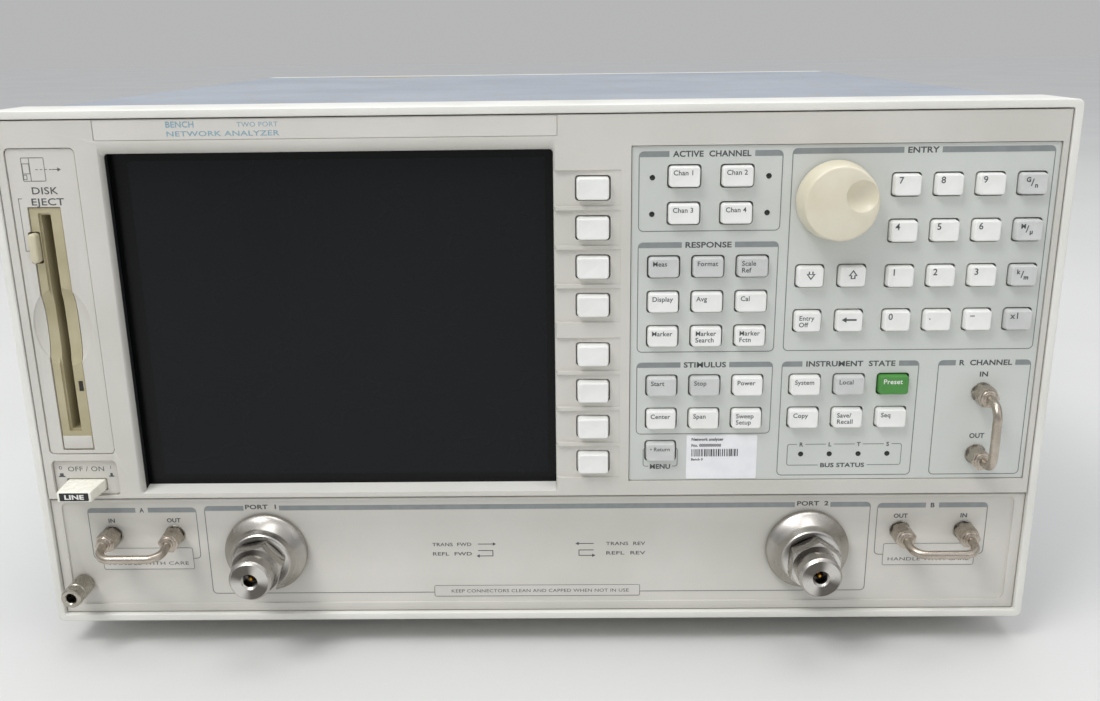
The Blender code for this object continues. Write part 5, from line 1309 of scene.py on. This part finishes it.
def rear_plate():
    """The zinc-plated rear panel with its openings and a field of punched slots."""
    plate = slab("rear_plate", (REAR[0].x, REAR[1].x), (REAR[0].y, REAR_FACE),
                 (REAR[0].z, REAR[1].z))
    low, high = REAR[0].y - 9, REAR_FACE + 9
    fan = bore_shade(55.5, low, high, FAN.x, FAN.z, 64)
    inlet = slab("inlet_opening", about(INLET[0], 24.3), (low, high),
                 about(INLET[1], 14.3))
    bank = slab("bank_opening", about(BANK_X, 50.3), (low, high),
                about(BANK_Z, 12.3))
    first = slab("punched_slot", (72, 86), (low, high), (136, 139), corner=1.4, steps=3)
    slots = [first] + [moved_copy(first, 20 * column, 0, 8 * row)
                       for column in range(5) for row in range(7) if column or row]
    carve(plate, fan, inlet, bank)
    soften(plate, 0.3, 2, 50)
    carve(plate, together("punched_slots", slots))
    settle(plate, finish=ZINC, stands_for=["rear_panel"], angle=20)


def fan_guard():
    """Wire rings on four spokes over the fan, welded where they cross."""
    wire, reach = 0.9, 75.0
    pieces = [primitive(bpy.ops.mesh.primitive_torus_add, "ring", major_radius=radius * MM,
                        minor_radius=wire * MM, major_segments=64, minor_segments=8,
                        location=spot(FAN.x, REAR_FACE + 3, FAN.z), rotation=FACING)
              for radius in (12, 20, 28, 36, 44, 52)]
    pieces += [primitive(bpy.ops.mesh.primitive_cylinder_add, "spoke", vertices=10,
                         radius=wire * MM, depth=2 * reach * MM,
                         location=spot(FAN.x, REAR_FACE + 1.5, FAN.z), rotation=(0, turn, 0))
               for turn in (math.pi / 4, -math.pi / 4)]
    settle(together("fan_guard", pieces), finish=WIRE_STEEL)


def socket_shell(name, x, z, wide, tall, rows, pins):
    """A D-shaped rear connector: a plated flange and shell with two jack posts, and its contacts.
    """
    face = BANK_Y
    flange = slab("flange", (x - wide / 2 - 7, x + wide / 2 + 7), (face, face + 0.9),
                  (z - tall / 2 - 1.5, z + tall / 2 + 1.5), corner=1.2)
    shell = slab("shell", about(x, wide / 2), (face + 0.5, face + 5.5),
                 about(z, tall / 2), corner=2.2)
    edit(shell)
    pick("edges", lambda edge: all(vert.co.z < 0 for vert in edge.verts))
    bpy.ops.transform.resize(value=(0.93, 1, 1), center_override=shell.location)
    done()
    carve(shell, slab("hollow", (x - wide / 2 + 1.4, x + wide / 2 - 1.4), (face + 4, face + 9),
                      (z - tall / 2 + 0.8, z + tall / 2 - 0.8), corner=1.6))
    posts = [turned("jack_post", [(2.4, face + 0.5), (2.4, face + 4.5), (1.9, face + 5),
                                  (1.3, face + 5), (1.3, face + 3), (0, face + 3)],
                    x + side * (wide / 2 + 4), z, 6) for side in (-1, 1)]
    metal_part = together(name + "_shell", [flange, shell, *posts])
    settle(metal_part, finish=NICKEL)
    contacts = []
    for row in range(rows):
        for index in range(pins - row % 2):
            at = x + (index - (pins - 1 - row % 2) / 2) * 2.76
            contacts.append(turned("contact", [(0.5, face + 3.9), (0.5, face + 4.6),
                                               (0, face + 4.8)],
                                   at, z + (0.5 * (rows - 1) - row) * 2.84, 8))
    settle(together(name + "_contacts", contacts), finish=GOLD)


def bank_plate():
    """The plated bracket that the rear sockets are screwed to, in front of their board."""
    plate = slab("bank_plate", about(BANK_X, 49.4), (BANK_Y, BANK_Y + 0.35),
                 about(BANK_Z, 11.4), corner=0.8)
    settle(plate, finish=NICKEL)


def bayonet_jacks():
    """Five coaxial jacks in a row: hexagon, barrel with two bayonet pins, white insulator."""
    first_x, first_z = BNC_PLACES[0]
    face = REAR_FACE
    barrel = turned("barrel", [(6.2, face - 0.2), (6.2, face + 1.0), (4.8, face + 1.2),
                               (4.8, face + 11.6), (4.5, face + 12), (4.05, face + 12),
                               (4.0, face + 2.2), (0, face + 2.2)], first_x, first_z, 32)
    pins = [slab("bayonet", on_side(side, 4.6, 5.6), (face + 7.4, face + 9.2), (-0.9, 0.9),
                 corner=0.6) for side in (-1, 1)]
    for pin in pins:
        pin.location += Vector((first_x, 0, first_z)) * MM
    nut = hexagon("washer_nut", 14, face + 3.6, face + 0.3, first_x, first_z, 0.2, 0.8)
    contact = turned("contact", [(0.7, face + 2.1), (0.7, face + 9.5), (0, face + 9.9)],
                     first_x, first_z, 12)
    first = together("bayonet_jack", [barrel, *pins, nut, contact])
    settle(copies("bayonet_jacks", first, BNC_PLACES), finish=NICKEL)
    rings = [close_ring(turned("insulator", [(3.9, face + 2.3), (3.9, face + 7.0),
                                             (1.4, face + 7.0), (1.4, face + 2.3)], x, z, 24))
             for x, z in BNC_PLACES]
    settle(together("jack_insulators", rings), finish=IVORY)


def mains_inlet():
    """The moulded mains inlet: its flange round the socket, three blades and a fuse drawer."""
    x, z = INLET
    face = REAR[0].y + SHEET + 2
    flange = slab("inlet_flange", about(x, 23.6), (face, face + 1.6),
                  about(z, 13.6), corner=3.5, steps=5)
    socket = slab("inlet_socket", about(x, 12), about(face, 9), about(z, 8.5),
                  corner=4, steps=5)
    carve(flange, socket)
    drawer = slab("fuse_drawer", (x + 14.2, x + 21.6), (face + 1.2, face + 2.4),
                  about(z, 7.5), corner=0.8)
    soften(drawer, 0.3)
    well = slab("inlet_well", about(x, 11.95), (face - 6.2, face + 0.4),
                about(z, 8.45), corner=4, steps=5)
    carve(well, slab("well_hollow", about(x, 11.2), (face - 5.6, face + 9),
                     about(z, 7.7), corner=3.3, steps=5))
    settle(together("mains_inlet", [soften(flange, 0.4), well, drawer]), finish=BLACK_PLASTIC)
    blades = [slab("blade", about(x + across, 1), (face - 5.3, face - 0.6), about(z + rise, 2))
              for across, rise in ((-7, -1.5), (0, 2.5), (7, -1.5))]
    settle(soften(together("mains_blades", blades), 0.3), finish=NICKEL)


def rear_printing():
    """Plain words over the rear connectors, on the side that faces back."""
    words = [("PARALLEL", BANK_X - 25, 187.5), ("SERIAL", BANK_X + 25, 187.5),
             *[(word, place[0], WORDS_OVER_BNC) for word, place in
               zip(("EXT TRIG", "TEST", "REF IN", "REF OUT", "AUX"), BNC_PLACES)],
             ("LINE", INLET[0], 62)]
    joined = together("rear_words", [lettering(word, -x, REAR_FACE, z, 2.4, INK_DARK, weight=0.01)
                                     for word, x, z in words])
    bpy.ops.object.transform_apply(location=True, rotation=True, scale=True)
    edit(joined)
    bpy.ops.mesh.select_all(action="SELECT")
    bpy.ops.transform.resize(value=(-1, -1, 1), center_override=spot(0, REAR_FACE, 0))
    done()
    settle(joined)


# ---- screws -------------------------------------------------------------------------------------
def screws():
    """Pan-head screws with a cross recess: one is modelled and the rest are its copies."""
    head = turned("screw", [(3.4, 0.4), (3.4, -0.4), (3.2, -1.1), (2.5, -1.7), (1.3, -2.0),
                            (0, -2.1)], 0, 0, 32)
    arms = [slab("recess", (-wide, wide), (-4, -1.0), (-tall, tall))
            for wide, tall in ((1.9, 0.4), (0.4, 1.9))]
    carve(head, *arms)
    backwards = (0, 0, math.pi)
    fan_screw = 52.5                # from the fan's middle, across and up
    places = [((x, REAR_FACE + 0.2, z), backwards) for x, z in (
        *[(x, z) for z in (16, 205) for x in (-190, -60, 60, 190)],
        *[(x, z) for x in about(FAN.x, fan_screw) for z in about(FAN.z, fan_screw)])]
    for side in (-1, 1):
        sideways = (0, 0, side * math.pi / 2)
        places += [((side * (REAR_GUARD[0].x + REAR_GUARD[1].x) / 2, FRAME_BACK + 8.2, z),
                    backwards) for z in (70, 150)]
        places += [((side * (STRAP[1].x - 0.9), y, (RECESS_Z[0] + RECESS_Z[1]) / 2), sideways)
                   for y in (STRAP[0].y + CAP_LONG / 2, STRAP[1].y - CAP_LONG / 2)]
        places += [((side * COVER[1].x, 404, z), sideways) for z in (18.0, 204.0)]
    heads = []
    for place, turn in places:
        copy = moved_copy(head)
        copy.location = spot(*place)
        copy.rotation_euler = turn
        heads.append(copy)
    bpy.data.objects.remove(head)
    settle(together("screws", heads), finish=ZINC, angle=35)


# ---- floor, light and camera --------------------------------------------------------------------
def studio():
    bpy.context.scene.view_settings.view_transform = "Standard"
    floor = primitive(bpy.ops.mesh.primitive_plane_add, "studio_floor", size=24)
    # plain pale board under the instrument: matte, almost even
    coated(floor, coat("matte_board_pale", 0xD9D9D7, 0xD5D5D3, 400, (0.7, 0.8), 4.0, 0.01))
    world = bpy.data.worlds.new("pale_room")
    bpy.context.scene.world = world
    world.use_nodes = True
    tree = world.node_tree
    # a bright ceiling and dimmer walls, so that bare metal has something to mirror
    up = add_node(tree, "ShaderNodeSeparateXYZ",
                  {"Vector": add_node(tree, "ShaderNodeTexCoord").outputs["Generated"]})
    height = add_node(tree, "ShaderNodeMapRange",
                      {"Value": up.outputs["Z"], "From Min": 0.0, "From Max": 0.75,
                       "To Min": 0.0, "To Max": 1.0}, interpolation_type="SMOOTHSTEP")
    room = mixed(tree, height.outputs["Result"], 0xA0A2A6, 0xFBFCFF)
    seen = add_node(tree, "ShaderNodeLightPath").outputs["Is Camera Ray"]
    sky = tree.nodes["Background"]
    tree.links.new(mixed(tree, seen, room, 0xCCCCCD), sky.inputs["Color"])
    sky.inputs["Strength"].default_value = 0.78
    for name, place, size, power in (("key_light", (-0.9, -1.1, 2.0), 0.8, 22),
                                     ("fill_light", (1.6, -1.4, 0.9), 1.2, 3),
                                     ("top_light", (0.2, -0.1, 2.2), 1.2, 14)):
        lamp = bpy.data.lights.new(name, "AREA")
        lamp.shape = "SQUARE"
        lamp.size = size
        lamp.energy = power
        holder = bpy.data.objects.new(name, lamp)
        holder.location = place
        aim = Vector((0, 0, 0.1)) - Vector(place)
        holder.rotation_euler = aim.to_track_quat("-Z", "Y").to_euler()
        bpy.context.scene.collection.objects.link(holder)


def camera():
    """Standing a little above the front, looking down on the panel."""
    lens = bpy.data.cameras.new("camera")
    lens.lens = 34.82
    lens.sensor_width = 36
    lens.clip_start = 0.01
    holder = bpy.data.objects.new("camera", lens)
    bpy.context.scene.collection.objects.link(holder)
    # right, down and forward of a level camera that looks along +Y, then pitched, turned, rolled
    level = Matrix(((1, 0, 0), (0, 0, -1), (0, 1, 0)))
    pitch, aside, roll = 0.285, 0.0138, -0.0086
    turn = (Matrix.Rotation(roll, 3, "Z") @ Matrix.Rotation(aside, 3, "Y")
            @ Matrix.Rotation(pitch, 3, "X"))
    right, down, forward = turn @ level
    holder.matrix_world = Matrix.Translation((0.01331, -0.63296, 0.25852)) @ Matrix(
        (right, -down, -forward)).transposed().to_4x4()
    bpy.context.scene.camera = holder


# ---- CAD pieces that show as they are -----------------------------------------------------------
def coat_nodes():
    finishes = {
        COVER_PAINT: ["bottom_cover"],
        TOP_PAINT: ["top_cover"],
        FRAME_ENAMEL: ["rear_frame"],
        GLASS: ["display_window"],
        FOOT_PLASTIC: ["foot_front_left", "foot_front_right", "foot_rear_left",
                       "foot_rear_right", "rear_guard_left", "rear_guard_right"],
        WIRE_STEEL: ["tilt_stand_left", "tilt_stand_right"],
        ZINC: ["chassis", "rf_deck", "power_supply", "jack_bracket"],
        BLACK_PLASTIC: ["lcd_module", "fan_frame", "fan_rotor", "line_switch"],
        BOARD_GREEN: ["motherboard", "keypad_board"],
    }
    for finish, nodes in finishes.items():
        for node in nodes:
            coated(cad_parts[node], finish)


coat_nodes()
camera()
studio()
front_frame()
upper_panel()
keypad_film()
keys()
lamps()
keypad_printing()
name_strip()
paper_tag()
display()
knob()
disk_drive()
eject_button()
line_button()
left_printing()
lower_panel()
lower_printing()
test_port(1, PORTS[0])
test_port(2, PORTS[1])
link("link_a", AB_JACKS[:2], 2.0)
link("link_b", AB_JACKS[2:], 2.0)
link("link_r", R_JACKS, 0.0)
jack_collars()
ground_jack()
for word, side in (("left", -1), ("right", 1)):
    side_cover(word, side)
    strap_handle(word, side)
rear_plate()
fan_guard()
bank_plate()
socket_shell("wide_socket", BANK_X - 20, BANK_Z, 38, 10, 2, 13)
socket_shell("narrow_socket", BANK_X + 30, BANK_Z, 17, 10, 2, 5)
bayonet_jacks()
mains_inlet()
rear_printing()
screws()
